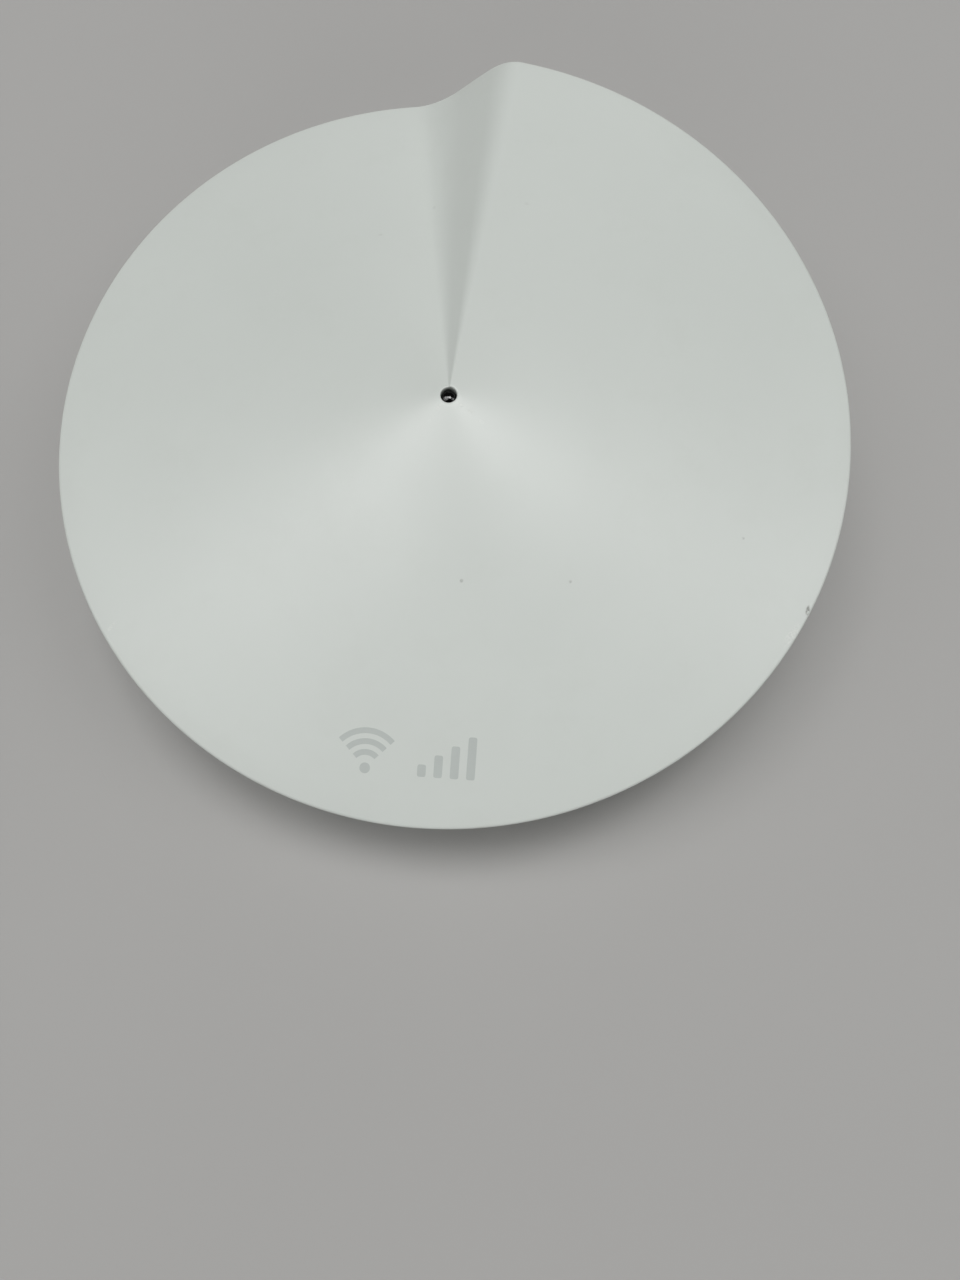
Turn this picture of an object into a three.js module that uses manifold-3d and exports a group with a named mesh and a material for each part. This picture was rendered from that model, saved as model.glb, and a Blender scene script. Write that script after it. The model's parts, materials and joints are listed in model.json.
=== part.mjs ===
/**
 * Mesh wifi node: a round desktop router whose cover is a cone wound into a swirl.
 *
 * Millimetres, +Z up. The origin is on the table, under the centre of the disc. The front is -Y, and the
 * ports are at the back, +Y, under the step where the swirl ends. Angles run from +X towards +Y.
 */
import * as THREE from 'three';
import { mergeVertices } from 'three/addons/utils/BufferGeometryUtils.js';
import Module from 'manifold-3d';

const wasm = await Module();
wasm.setup();

const DEG = Math.PI / 180;
const TURN = 2 * Math.PI;

// ---------------------------------------------------------------- driving dimensions

const COVER_RADIUS = 60;
const HEIGHT = 38;
const FIT_GAP = 0.3;
// Joined solids bite into each other by BITE, and cutting tools run PAST the face that they open.
const BITE = 0.5;
const PAST = 1;

// The cover's edge climbs steadily once round and drops back in one step.
const SWIRL = {
  low: 21.3,
  high: 32.1,
  stepAt: 91.75 * DEG,
  stepWidth: 16.6 * DEG,
  footShare: 0.45,
  crestShare: 0.29,
};
const STEP_COLUMNS = 10;
const SWEEP_COLUMNS = 50;

const COVER = {
  wall: 2.2,
  edgeRound: 0.8,
  skirtRadius: 56.1,
  skirtWall: 1.4,
  skirtDepth: 3,
  holeRadius: 1.15,
  lensBore: 2,
  bossRadius: 3.6,
  bossBottom: 33.6,
  lensSeat: 36.7,
};

const BASE = {
  bottom: 1,
  floorTop: 2.8,
  flatRadius: 49.5,
  innerFlatRadius: 48,
  topRadius: 58.6,
  innerTopRadius: 56.6,
  seam: 0.4,
  outerSteps: 6,
  innerSteps: 4,
};

const FOOT = { inner: 40, outer: 47.5, top: 1.75, round: 0.3, side: 0.2 };
const LABEL = { radius: 26, bottom: 1.1, top: 1.4, side: 0.5 };
const VENT = { count: 36, width: 1.4, from: 50.6, to: 57, bottom: 2, top: 7.5, clearOfPorts: 34 * DEG };

const BOARD = { radius: 49, bottom: 5.4, top: 7, back: 45.2, postHole: 3.4 };

// The alcove at the back that the plugs reach into.
const BAY = { halfWidth: 25.5, face: 47.6, bottom: 5.2, top: 17.2, wall: 1.8, skirtRelief: 6 };
const JACK = {
  xs: [-2, 15.5],
  front: 45.5,
  depth: 16.6,
  halfWidth: 8,
  top: 19,
  sheet: 0.3,
  sheetGap: 0.1,
  mouthHalf: 5.85,
  mouthBottom: 9.6,
  mouthTop: 16.8,
  mouthDepth: 13.4,
  latchHalf: 3.1,
  latchBottom: 8,
  latchDepth: 9,
};
const CONTACTS = { count: 8, pitch: 1.02, wire: 0.36, frontGap: 2.5 };
const COMB = { half: 4.3, depth: 2.4, height: 1.3 };
const USB = { x: -18.75, z: 8.65, width: 9, height: 3.3, sheet: 0.3, back: 39.5, front: 47.3, slack: 0.4 };
const USB_TONGUE = { half: 3.3, thickness: 0.7, frontGap: 0.7, rootGap: 0.1, rootEnd: 2, backWall: 0.8 };

// Screws that close the case: through the base into posts under the cover, hidden by the rubber foot.
const CASE_SCREW = {
  ring: 43.75,
  angles: [35, 145, 215, 325].map((a) => a * DEG),
  post: 3,
  pilot: 1.15,
  thread: 9,
};
const BOSS = { radius: 4, top: 4.8, recess: 2.7, seat: 3.4, hole: 1.5 };
const BOARD_SCREWS = [[42.5, 0], [-42.5, 0], [0, -42]];
const STANDOFF = { radius: 2.8, pilot: 0.9, boardHole: 1.1 };
const SINK_SCREWS = [[-29, -23], [29, 13]];
const SINK_SCREW_HOLE = { loose: 1.3, pilot: 1.1, headRoom: 3.2 };
const SCREW = {
  case: { head: 2.4, headHeight: 1.45, shank: 1, length: 8 },
  board: { head: 1.8, headHeight: 1.4, shank: 0.75, length: 4 },
  sink: { head: 2.2, headHeight: 1.6, shank: 1 },
};
const RESET = { x: 0, y: -35, hole: 1.25, shaft: 0.9, collar: 1.45, bottom: 2, shoulder: 4.2, top: 4.6 };
const RESET_SWITCH = { half: 2.3, bottom: 3.7, shaftSlack: 0.2, collarSlack: 0.25, ledge: 4.15 };

const CAN = { height: 3, sheet: 0.4 };
const CANS = {
  cpu: { x: [-14, 14], y: [-29, -5] },
  radio_2g: { x: [-37, -17], y: [-13, 9] },
  radio_5g: { x: [17, 37], y: [-13, 9] },
};
const PAD = { thickness: 1, inset: 2 };
const SINK = { x: [-31, 31], y: [-27, 16], plate: 1.6, top: 18.5, fins: 11, fin: 1.2, leg: 2.6 };
const SPREADER = { bottom: BASE.floorTop + FIT_GAP, top: 4.1, pad: { x: [-11, 3], y: [-24, -10] } };
const LED = { half: 1, top: BOARD.top + 0.8 };
const PIPE = {
  radius: 1.6,
  tipRadius: 1.8,
  flareFrom: 33.4,
  flareTo: 34,
  shoulder: 36,
  neck: 0.85,
  neckFrom: 36.4,
  tip: 37.4,
};
const SLEEVE = { inner: 2.1, outer: 3, top: 33.3 };
const CARRIER = { inner: 44.5, outer: 50.5, bottom: 15, top: 16.6, from: 128 * DEG, to: 412 * DEG };
const CARRIER_LEG = { angles: [170, 235, 305, 8].map((a) => a * DEG), inset: 0.5, edgeGap: 0.6, half: 2 };
const ANTENNA = {
  angles: [160, 225, 315, 20].map((a) => a * DEG),
  radius: 48.6,
  sheet: 0.6,
  top: 21.4,
  reach: 12 * DEG,
  foot: 3 * DEG,
  slotFrom: CARRIER.top + 1.6,
  slotTo: CARRIER.top + 2.6,
};
const LEAD_RADIUS = 0.55;
// A lead's way from its antenna over the carrier and down to the board, as [radius, z].
const LEAD_STOPS = [
  [48, 17.7], [46, 17.6], [43.6, 17], [42.4, 14.5], [41.9, 11], [41.2, 8.6], [39.8, 7.8], [38, 7.65],
];

// What stands on the board: its middle, and its width, depth and height.
const CHIPS = {
  processor_chip: { x: -4, y: -17, size: [14, 14, 1.2] },
  memory_chip: { x: 8.5, y: -17, size: [8, 12, 1.1] },
  radio_2g_chip: { x: -27, y: -2, size: [9, 9, 1] },
  radio_5g_chip: { x: 27, y: -2, size: [9, 9, 1] },
  flash_chip: { x: -8, y: 10, size: [6, 5, 1] },
  bluetooth_chip: { x: -24, y: 18, size: [5, 5, 0.9] },
  ethernet_switch_chip: { x: 9, y: 10, size: [8, 8, 1] },
};
const TRANSFORMER = { y: 22, size: [15, 7, 5.5] };
const INDUCTOR = { x: -28, y: 24, size: [5.5, 5.5, 3.5] };
const CHIP_ANTENNA = { x: 8, y: -45, size: [7, 2, 1.2] };
const CAPACITORS = [[-20, 26], [-27, 34]];
const CAPACITOR = { radius: 3.15, height: 7.7, crimp: 1.3, groove: 0.25, bead: 0.3 };

const COLOURS = {
  cover: { color: 0xc4cac5, roughness: 0.42, metalness: 0 },
  base: { color: 0xbfc5c0, roughness: 0.5, metalness: 0 },
  lens: { color: 0x15181a, roughness: 0.12, metalness: 0 },
  black: { color: 0x1b1c1e, roughness: 0.6, metalness: 0 },
  rubber: { color: 0x8e9290, roughness: 0.85, metalness: 0 },
  label: { color: 0xdde0de, roughness: 0.55, metalness: 0 },
  board: { color: 0x1d4a33, roughness: 0.45, metalness: 0 },
  chip: { color: 0x222326, roughness: 0.55, metalness: 0 },
  steel: { color: 0xb4b6b8, roughness: 0.35, metalness: 1 },
  gold: { color: 0xd2a64f, roughness: 0.3, metalness: 1 },
  aluminium: { color: 0xa9acae, roughness: 0.4, metalness: 1 },
  pad: { color: 0x8fa3b8, roughness: 0.9, metalness: 0 },
  ferrite: { color: 0x4a4a4c, roughness: 0.7, metalness: 0 },
  led: { color: 0xf1efdc, roughness: 0.3, metalness: 0 },
  carrier: { color: 0xd8dad6, roughness: 0.5, metalness: 0 },
  lead: { color: 0x33353a, roughness: 0.5, metalness: 0 },
};

// ---------------------------------------------------------------- solids

/** A closed mesh as a solid: shared vertices merged, slivers dropped, faces turned outwards. */
function toSolid(geometry) {
  const bare = geometry.clone();
  bare.deleteAttribute('normal');
  bare.deleteAttribute('uv');
  const merged = mergeVertices(bare, 1e-4);
  const index = merged.index.array;
  const corners = [];
  for (let i = 0; i < index.length; i += 3) {
    const [a, b, c] = [index[i], index[i + 1], index[i + 2]];
    if (a !== b && b !== c && c !== a) corners.push([a, b, c]);
  }
  const build = (triangles) => new wasm.Manifold(new wasm.Mesh({
    numProp: 3,
    vertProperties: Float32Array.from(merged.attributes.position.array),
    triVerts: Uint32Array.from(triangles.flat()),
  }));
  const solid = build(corners);
  return solid.volume() < 0 ? build(corners.map(([a, b, c]) => [a, c, b])) : solid;
}

const asSolid = (shape) => (shape instanceof THREE.BufferGeometry ? toSolid(shape) : shape);
const join = (...shapes) => shapes.map(asSolid).reduce((all, next) => all.add(next));
const cut = (shape, ...tools) => tools
  .map(asSolid)
  .reduce((rest, tool) => rest.subtract(tool), asSolid(shape));
const common = (a, b) => asSolid(a).intersect(asSolid(b));

/** A box between two limits on each axis. */
function block([x0, x1], [y0, y1], [z0, z1]) {
  const box = new THREE.BoxGeometry(x1 - x0, y1 - y0, z1 - z0);
  return box.translate((x0 + x1) / 2, (y0 + y1) / 2, (z0 + z1) / 2);
}

/** An upright round bar. */
function post(x, y, radius, z0, z1, sides = 20) {
  const bar = new THREE.CylinderGeometry(radius, radius, z1 - z0, sides);
  return bar.rotateX(Math.PI / 2).translate(x, y, (z0 + z1) / 2);
}

/** A solid turned about Z from [radius, z] points, which start and end on the axis or close on themselves. */
function turned(points, sides) {
  const outline = points.map(([radius, z]) => new THREE.Vector2(radius, z));
  if (points[0][0] > 0) outline.push(outline[0].clone());
  return new THREE.LatheGeometry(outline, sides).rotateX(Math.PI / 2);
}

/** A flat plate of one outline between two heights. */
function plate(outline, z0, z1, curveSegments = 12) {
  const options = { depth: z1 - z0, bevelEnabled: false, curveSegments };
  return new THREE.ExtrudeGeometry(outline, options).translate(0, 0, z0);
}

/** The outline of a ring's sector. */
function sector(inner, outer, from, to) {
  const outline = new THREE.Shape();
  outline.absarc(0, 0, outer, from, to, false);
  outline.absarc(0, 0, inner, to, from, true);
  outline.closePath();
  return outline;
}

/** A bar with round ends that runs along Y, its section centred on (x, z). */
function slotBar(x, z, width, height, y0, y1) {
  const radius = height / 2;
  const reach = width / 2 - radius;
  const outline = new THREE.Shape();
  outline.absarc(reach, 0, radius, -Math.PI / 2, Math.PI / 2, false);
  outline.absarc(-reach, 0, radius, Math.PI / 2, 1.5 * Math.PI, false);
  outline.closePath();
  const options = { depth: y1 - y0, bevelEnabled: false, curveSegments: 6 };
  return new THREE.ExtrudeGeometry(outline, options).rotateX(Math.PI / 2).translate(x, y1, z);
}

const polar = (radius, angle) => [radius * Math.cos(angle), radius * Math.sin(angle)];

// ---------------------------------------------------------------- the swirl

/** Share of the step's height at a share t of its width: hollow foot, straight flank, round crest. */
function stepShare(t) {
  const { footShare, crestShare } = SWIRL;
  const slope = 1 / (1 - footShare / 2 - crestShare / 2);
  if (t < footShare) return (slope * t * t) / (2 * footShare);
  if (t > 1 - crestShare) return 1 - (slope * (1 - t) ** 2) / (2 * crestShare);
  return slope * (t - footShare / 2);
}

/** Height of the cover's edge. */
function rimHeight(angle) {
  const past = (((angle - SWIRL.stepAt) % TURN) + TURN) % TURN;
  const half = SWIRL.stepWidth / 2;
  const rise = SWIRL.high - SWIRL.low;
  if (past >= half && past <= TURN - half) {
    return SWIRL.low + (rise * (past - half)) / (TURN - SWIRL.stepWidth);
  }
  const fromLowEdge = past < Math.PI ? half - past : half + TURN - past;
  return SWIRL.low + rise * stepShare(fromLowEdge / SWIRL.stepWidth);
}

/** Height of the cover's top: straight lines from the centre to the edge. */
const coverHeight = (radius, angle) => HEIGHT + ((rimHeight(angle) - HEIGHT) * radius) / COVER_RADIUS;

const wallTop = (angle) => rimHeight(angle) - COVER.wall - BASE.seam;

/** Angles of a shell's columns: close together across the step, wider apart round the rest. */
function shellAngles() {
  const start = SWIRL.stepAt - SWIRL.stepWidth / 2;
  const angles = [];
  for (let i = 0; i < STEP_COLUMNS; i++) angles.push(start + (SWIRL.stepWidth * i) / STEP_COLUMNS);
  const sweep = TURN - SWIRL.stepWidth;
  for (let i = 0; i < SWEEP_COLUMNS; i++) angles.push(start + SWIRL.stepWidth + (sweep * i) / SWEEP_COLUMNS);
  return angles;
}

// How a shell's profile point finds its height.
const level = (z) => () => z;
const underTop = (drop) => (radius, angle) => coverHeight(radius, angle) - drop;
const upWall = (bottom, share) => (radius, angle) => bottom + share * (wallTop(angle) - bottom);

/** A turned shell whose heights follow the swirl, from [radius, heightAt] points. */
function swirlShell(profile) {
  const angles = shellAngles();
  const outline = [...profile, profile[0]].map(([radius]) => new THREE.Vector2(radius, 0));
  const shell = new THREE.LatheGeometry(outline, angles.length);
  const { position } = shell.attributes;
  for (let column = 0; column <= angles.length; column++) {
    const angle = angles[column % angles.length];
    for (let row = 0; row < outline.length; row++) {
      const [radius, heightAt] = profile[row % profile.length];
      position.setXYZ(column * outline.length + row, ...polar(radius, angle), heightAt(radius, angle));
    }
  }
  return toSolid(shell);
}

/** Points of a bowl's side: a quarter ellipse from the floor to the top of the wall. */
function bowlSide(bottom, flatRadius, topRadius, steps) {
  const points = [];
  for (let i = 0; i <= steps; i++) {
    const turn = (Math.PI / 2) * (i / steps);
    const radius = flatRadius + (topRadius - flatRadius) * Math.sin(turn);
    points.push([radius, upWall(bottom, 1 - Math.cos(turn))]);
  }
  return points;
}

// ---------------------------------------------------------------- the object

const node = new THREE.Group();
const materials = Object.fromEntries(
  Object.entries(COLOURS).map(([name, look]) => [name, new THREE.MeshStandardMaterial(look)]),
);

/** Adds one named piece. */
function add(name, shape, look) {
  const { vertProperties, triVerts } = asSolid(shape).getMesh();
  const geometry = new THREE.BufferGeometry();
  geometry.setAttribute('position', new THREE.BufferAttribute(vertProperties, 3));
  geometry.setIndex(new THREE.BufferAttribute(triVerts, 1));
  geometry.computeVertexNormals();
  const mesh = new THREE.Mesh(geometry, materials[look].clone());
  mesh.name = name;
  node.add(mesh);
}

/** A cross-head screw. Its head rises from the seat when up is 1 and hangs below it when up is -1. */
function screw(x, y, seat, up, { head, headHeight, shank, length }) {
  const at = (rise) => seat + up * rise;
  const body = turned([
    [0, at(-length)], [shank, at(-length)], [shank, at(0)], [head, at(0)],
    [head, at(0.6 * headHeight)], [0.7 * head, at(headHeight)], [0, at(headHeight)],
  ], 12).translate(x, y, 0);
  const arm = 0.5 * head;
  const blade = 0.13 * head;
  const recess = [at(0.4 * headHeight), at(headHeight + PAST)].sort((a, b) => a - b);
  return cut(
    body,
    block([x - arm, x + arm], [y - blade, y + blade], recess),
    block([x - blade, x + blade], [y - arm, y + arm], recess),
  );
}

// ---- cover, with the four posts that the case screws bite into

function topCover() {
  const { wall, edgeRound, skirtRadius, skirtWall, skirtDepth, holeRadius, lensBore } = COVER;
  let cover = swirlShell([
    [holeRadius, level(COVER.lensSeat)],
    [holeRadius, underTop(edgeRound / 2)],
    [holeRadius + edgeRound / 2, underTop(0)],
    [COVER_RADIUS / 2, underTop(0)],
    [COVER_RADIUS - edgeRound, underTop(0)],
    [COVER_RADIUS - edgeRound / 4, underTop(edgeRound / 4)],
    [COVER_RADIUS, underTop(edgeRound)],
    [COVER_RADIUS, underTop(2 * edgeRound)],
    [COVER_RADIUS - edgeRound, underTop(wall)],
    [skirtRadius, underTop(wall)],
    [skirtRadius, underTop(wall + skirtDepth)],
    [skirtRadius - skirtWall, underTop(wall + skirtDepth)],
    [skirtRadius - skirtWall, underTop(wall)],
    [COVER.bossRadius, underTop(wall)],
    [COVER.bossRadius, level(COVER.bossBottom)],
    [lensBore, level(COVER.bossBottom)],
    [lensBore, level(COVER.lensSeat)],
  ]);
  const { ring, angles, post: radius, pilot } = CASE_SCREW;
  const bottom = BOARD.bottom - FIT_GAP;
  for (const angle of angles) {
    const [x, y] = polar(ring, angle);
    const top = coverHeight(ring + radius, angle) - FIT_GAP;
    cover = join(cover, post(x, y, radius, bottom, top, 16));
    cover = cut(cover, post(x, y, pilot, bottom - PAST, bottom + CASE_SCREW.thread, 10));
  }
  const bayRoof = BAY.top + BAY.wall + 2 * FIT_GAP;
  const bayHalf = BAY.halfWidth + 2 * BAY.wall;
  return cut(
    cover,
    block([-bayHalf, bayHalf], [BAY.face - BAY.skirtRelief, skirtRadius + PAST], [BAY.bottom, bayRoof]),
  );
}

add('top_cover', topCover(), 'cover');

// ---- light path: a smoked pipe in a dark sleeve, from the board up into the hole in the cover

add('status_led', block([-LED.half, LED.half], [-LED.half, LED.half], [BOARD.top, LED.top]), 'led');
add('light_pipe', turned([
  [0, LED.top + FIT_GAP], [PIPE.radius, LED.top + FIT_GAP], [PIPE.radius, PIPE.flareFrom],
  [PIPE.tipRadius, PIPE.flareTo], [PIPE.tipRadius, PIPE.shoulder],
  [PIPE.neck, PIPE.neckFrom], [PIPE.neck, PIPE.tip], [0, PIPE.tip],
], 16), 'lens');
add('light_sleeve', turned([
  [SLEEVE.inner, BOARD.top], [SLEEVE.outer, BOARD.top], [SLEEVE.outer, SLEEVE.top], [SLEEVE.inner, SLEEVE.top],
], 16), 'black');

// ---- base: a bowl with the port alcove, vents, screw bosses and board standoffs

/** The solid inside the bowl's outer face. */
function filledBowl() {
  const side = bowlSide(BASE.bottom, BASE.flatRadius, BASE.topRadius, BASE.outerSteps);
  return swirlShell([[0, level(BASE.bottom)], ...side, [0, level(BAY.top + BAY.wall)]]);
}

function bowl() {
  const outer = bowlSide(BASE.bottom, BASE.flatRadius, BASE.topRadius, BASE.outerSteps);
  const inner = bowlSide(BASE.floorTop, BASE.innerFlatRadius, BASE.innerTopRadius, BASE.innerSteps);
  return swirlShell([[0, level(BASE.bottom)], ...outer, ...inner.reverse(), [0, level(BASE.floorTop)]]);
}

/** The alcove's walls, with a window for each socket. */
function withPortBay(shell) {
  const { halfWidth, face, bottom, top, wall } = BAY;
  const beyond = COVER_RADIUS + 2;
  const outerHalf = halfWidth + wall;
  const housing = block([-outerHalf, outerHalf], [face - wall, beyond], [bottom - wall, top + wall]);
  const windows = JACK.xs.map((x) => block(
    [x - JACK.mouthHalf - FIT_GAP, x + JACK.mouthHalf + FIT_GAP],
    [face - wall - PAST, face + PAST],
    [JACK.latchBottom - FIT_GAP, JACK.mouthTop + FIT_GAP / 2],
  ));
  return cut(
    join(shell, common(housing, filledBowl())),
    block([-halfWidth, halfWidth], [face, beyond], [bottom, top]),
    ...windows,
    slotBar(
      USB.x, USB.z, USB.width + 2 * USB.slack, USB.height + 2 * USB.slack, face - wall - PAST, face + PAST,
    ),
  );
}

/** Upright slots round the foot of the bowl, none of them at the ports. */
function ventSlots() {
  const slots = [];
  for (let i = 0; i < VENT.count; i++) {
    const angle = (TURN * (i + 0.5)) / VENT.count;
    const fromBack = Math.abs(angle - TURN / 4);
    if (Math.min(fromBack, TURN - fromBack) < VENT.clearOfPorts) continue;
    const half = VENT.width / 2;
    slots.push(block([VENT.from, VENT.to], [-half, half], [VENT.bottom, VENT.top]).rotateZ(angle));
  }
  return slots;
}

function baseShell() {
  let base = withPortBay(bowl());
  base = cut(
    base,
    ...ventSlots(),
    turned([
      [FOOT.inner - FOOT.side, 0], [FOOT.outer + FOOT.side, 0],
      [FOOT.outer + FOOT.side, FOOT.top], [FOOT.inner - FOOT.side, FOOT.top],
    ], 40),
    post(0, 0, LABEL.radius + LABEL.side, 0, LABEL.top, 32),
    post(RESET.x, RESET.y, RESET.hole, 0, BASE.floorTop + PAST, 12),
  );
  for (const angle of CASE_SCREW.angles) {
    const [x, y] = polar(CASE_SCREW.ring, angle);
    base = join(base, post(x, y, BOSS.radius, BASE.floorTop - BITE, BOSS.top, 16));
    base = cut(
      base,
      post(x, y, BOSS.recess, 0, BOSS.seat, 12),
      post(x, y, BOSS.hole, BASE.floorTop, BOSS.top + PAST, 12),
    );
  }
  for (const [x, y] of BOARD_SCREWS) {
    base = join(base, post(x, y, STANDOFF.radius, BASE.floorTop - BITE, BOARD.bottom, 16));
    base = cut(base, post(x, y, STANDOFF.pilot, BASE.floorTop, BOARD.bottom + PAST, 10));
  }
  return base;
}

add('base_shell', baseShell(), 'base');
add('foot_ring', turned([
  [FOOT.inner, FOOT.round], [FOOT.inner + FOOT.round, 0], [FOOT.outer - FOOT.round, 0],
  [FOOT.outer, FOOT.round], [FOOT.outer, FOOT.top], [FOOT.inner, FOOT.top],
], 40), 'rubber');
add('rating_plate', post(0, 0, LABEL.radius, LABEL.bottom, LABEL.top, 32), 'label');

CASE_SCREW.angles.forEach((angle, i) => {
  add(`base_screw_${i + 1}`, screw(...polar(CASE_SCREW.ring, angle), BOSS.seat, -1, SCREW.case), 'steel');
});

// ---- reset button: a sprung plunger held in its switch, reached through a pinhole underneath

add('reset_button', turned([
  [0, RESET.bottom], [RESET.shaft, RESET.bottom], [RESET.shaft, RESET.shoulder],
  [RESET.collar, RESET.shoulder], [RESET.collar, RESET.top], [0, RESET.top],
], 12).translate(RESET.x, RESET.y, 0), 'black');

function resetSwitch() {
  const { x, y, shaft, collar, shoulder, top } = RESET;
  const { half, bottom, shaftSlack, collarSlack, ledge } = RESET_SWITCH;
  const travelTop = top + BITE;
  return cut(
    block([x - half, x + half], [y - half, y + half], [bottom, BOARD.bottom]),
    post(x, y, shaft + shaftSlack, bottom - PAST, shoulder, 12),
    post(x, y, collar + collarSlack, ledge, travelTop, 12),
  );
}

add('reset_switch', resetSwitch(), 'steel');

// ---- main board

function mainBoard() {
  const corner = Math.asin(BOARD.back / BOARD.radius);
  const outline = new THREE.Shape();
  outline.absarc(0, 0, BOARD.radius, Math.PI - corner, TURN + corner, false);
  outline.closePath();
  const holes = [
    ...CASE_SCREW.angles.map((angle) => [...polar(CASE_SCREW.ring, angle), BOARD.postHole]),
    ...BOARD_SCREWS.map(([x, y]) => [x, y, STANDOFF.boardHole]),
    ...SINK_SCREWS.map(([x, y]) => [x, y, SINK_SCREW_HOLE.loose]),
  ];
  const drills = holes.map(([x, y, radius]) => post(x, y, radius, BOARD.bottom - PAST, BOARD.top + PAST, 12));
  return cut(plate(outline, BOARD.bottom, BOARD.top, 24), ...drills);
}

add('main_board', mainBoard(), 'board');
BOARD_SCREWS.forEach(([x, y], i) => {
  add(`board_screw_${i + 1}`, screw(x, y, BOARD.top, 1, SCREW.board), 'steel');
});

// ---- network sockets: a plastic body with the cavity, a comb of contacts, a sheet steel shield

/** The space that a plug fills, with the step for its latch, grown by a margin. */
function plugSpace(x, frontEnd, margin = 0) {
  const { front, mouthHalf, mouthBottom, mouthTop, mouthDepth, latchHalf, latchBottom, latchDepth } = JACK;
  const half = mouthHalf + margin;
  const latch = latchHalf + margin;
  return join(
    block([x - half, x + half], [front - mouthDepth, frontEnd], [mouthBottom, mouthTop + margin]),
    block([x - latch, x + latch], [front - latchDepth, frontEnd], [latchBottom, mouthBottom + BITE]),
  );
}

function jackHousing(x) {
  const inset = JACK.sheet + JACK.sheetGap;
  const half = JACK.halfWidth - inset;
  const back = JACK.front - JACK.depth + inset;
  const top = JACK.top - inset - JACK.sheetGap;
  const body = block([x - half, x + half], [back, JACK.front - inset], [BOARD.top, top]);
  return cut(body, plugSpace(x, JACK.front + PAST));
}

function jackShield(x) {
  const { halfWidth, sheet, sheetGap, front, depth, top } = JACK;
  const inner = halfWidth - sheet;
  return cut(
    block([x - halfWidth, x + halfWidth], [front - depth, front], [BOARD.top, top]),
    block([x - inner, x + inner], [front - depth + sheet, front - sheet], [BOARD.top - PAST, top - sheet]),
    cut(plugSpace(x, front + PAST, sheetGap / 2), block([x - inner, x + inner], [0, front - PAST], [0, top])),
  );
}

/** Eight springs that slope into the cavity from a comb at the back of its roof. */
function jackContacts(x) {
  const { count, pitch, wire, frontGap } = CONTACTS;
  const roof = JACK.mouthTop - JACK.sheetGap;
  const back = JACK.front - JACK.mouthDepth + JACK.sheetGap;
  const tip = JACK.front - frontGap;
  let comb = block([x - COMB.half, x + COMB.half], [back, back + COMB.depth], [roof - COMB.height, roof]);
  const spring = new THREE.Shape([
    new THREE.Vector2(back + 1, roof - COMB.height),
    new THREE.Vector2(back + 1, roof - COMB.height + wire),
    new THREE.Vector2(tip, roof),
    new THREE.Vector2(tip, roof - wire),
  ]);
  for (let i = 0; i < count; i++) {
    const middle = x + (i - (count - 1) / 2) * pitch;
    const strip = new THREE.ExtrudeGeometry(spring, { depth: wire, bevelEnabled: false });
    strip.rotateY(Math.PI / 2).rotateX(Math.PI / 2);
    comb = join(comb, strip.translate(middle - wire / 2, 0, 0));
  }
  return comb;
}

JACK.xs.forEach((x, i) => {
  add(`lan_jack_${i + 1}_housing`, jackHousing(x), 'black');
  add(`lan_jack_${i + 1}_contacts`, jackContacts(x), 'gold');
  add(`lan_jack_${i + 1}_shield`, jackShield(x), 'steel');
});

// ---- power socket

function usbShell() {
  const { x, z, width, height, sheet, back, front } = USB;
  return cut(
    slotBar(x, z, width, height, back, front),
    slotBar(x, z, width - 2 * sheet, height - 2 * sheet, back + USB_TONGUE.backWall, front + PAST),
  );
}

/** The plug's tongue, on a root that fills the back of the shell. */
function usbTongue() {
  const { x, z, width, height, sheet, back, front } = USB;
  const { half, thickness, frontGap, rootGap, rootEnd, backWall } = USB_TONGUE;
  const inset = 2 * (sheet + rootGap);
  const rootBack = back + backWall + rootGap;
  const middle = [z - thickness / 2, z + thickness / 2];
  return join(
    slotBar(x, z, width - inset, height - inset, rootBack, back + rootEnd),
    block([x - half, x + half], [rootBack + rootGap, front - frontGap], middle),
  );
}

add('usb_c_shell', usbShell(), 'steel');
add('usb_c_tongue', usbTongue(), 'black');

// ---- chips under shield cans, with soft pads between the cans and the heat sink

for (const [name, { x: [x0, x1], y: [y0, y1] }] of Object.entries(CANS)) {
  const { height, sheet } = CAN;
  const top = BOARD.top + height;
  add(`${name}_shield_can`, cut(
    block([x0, x1], [y0, y1], [BOARD.top, top]),
    block([x0 + sheet, x1 - sheet], [y0 + sheet, y1 - sheet], [BOARD.top - PAST, top - sheet]),
  ), 'steel');
  const padY = [Math.max(y0, SINK.y[0]) + PAD.inset, y1 - PAD.inset];
  const padX = [Math.max(x0, SINK.x[0]) + PAD.inset, Math.min(x1, SINK.x[1]) - PAD.inset];
  add(`thermal_pad_${name}`, block(padX, padY, [top, top + PAD.thickness]), 'pad');
}

const onBoard = (x, y, [width, depth, height]) => block(
  [x - width / 2, x + width / 2],
  [y - depth / 2, y + depth / 2],
  [BOARD.top, BOARD.top + height],
);
/** A capacitor's can: a drum with a crimp near its foot and a chamfered top. */
function capacitor() {
  const { radius, height, crimp, groove, bead } = CAPACITOR;
  const foot = BOARD.top;
  const top = foot + height;
  return turned([
    [0, foot], [radius, foot], [radius, foot + crimp - bead], [radius - groove, foot + crimp],
    [radius, foot + crimp + bead], [radius, top - bead], [radius - groove, top], [0, top],
  ], 16);
}

for (const [name, { x, y, size }] of Object.entries(CHIPS)) add(name, onBoard(x, y, size), 'chip');
JACK.xs.forEach((x, i) => {
  add(`lan_transformer_${i + 1}`, onBoard(x, TRANSFORMER.y, TRANSFORMER.size), 'chip');
});
add('power_inductor', onBoard(INDUCTOR.x, INDUCTOR.y, INDUCTOR.size), 'ferrite');
CAPACITORS.forEach(([x, y], i) => {
  add(`bulk_capacitor_${i + 1}`, capacitor().translate(x, y, 0), 'aluminium');
});

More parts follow.
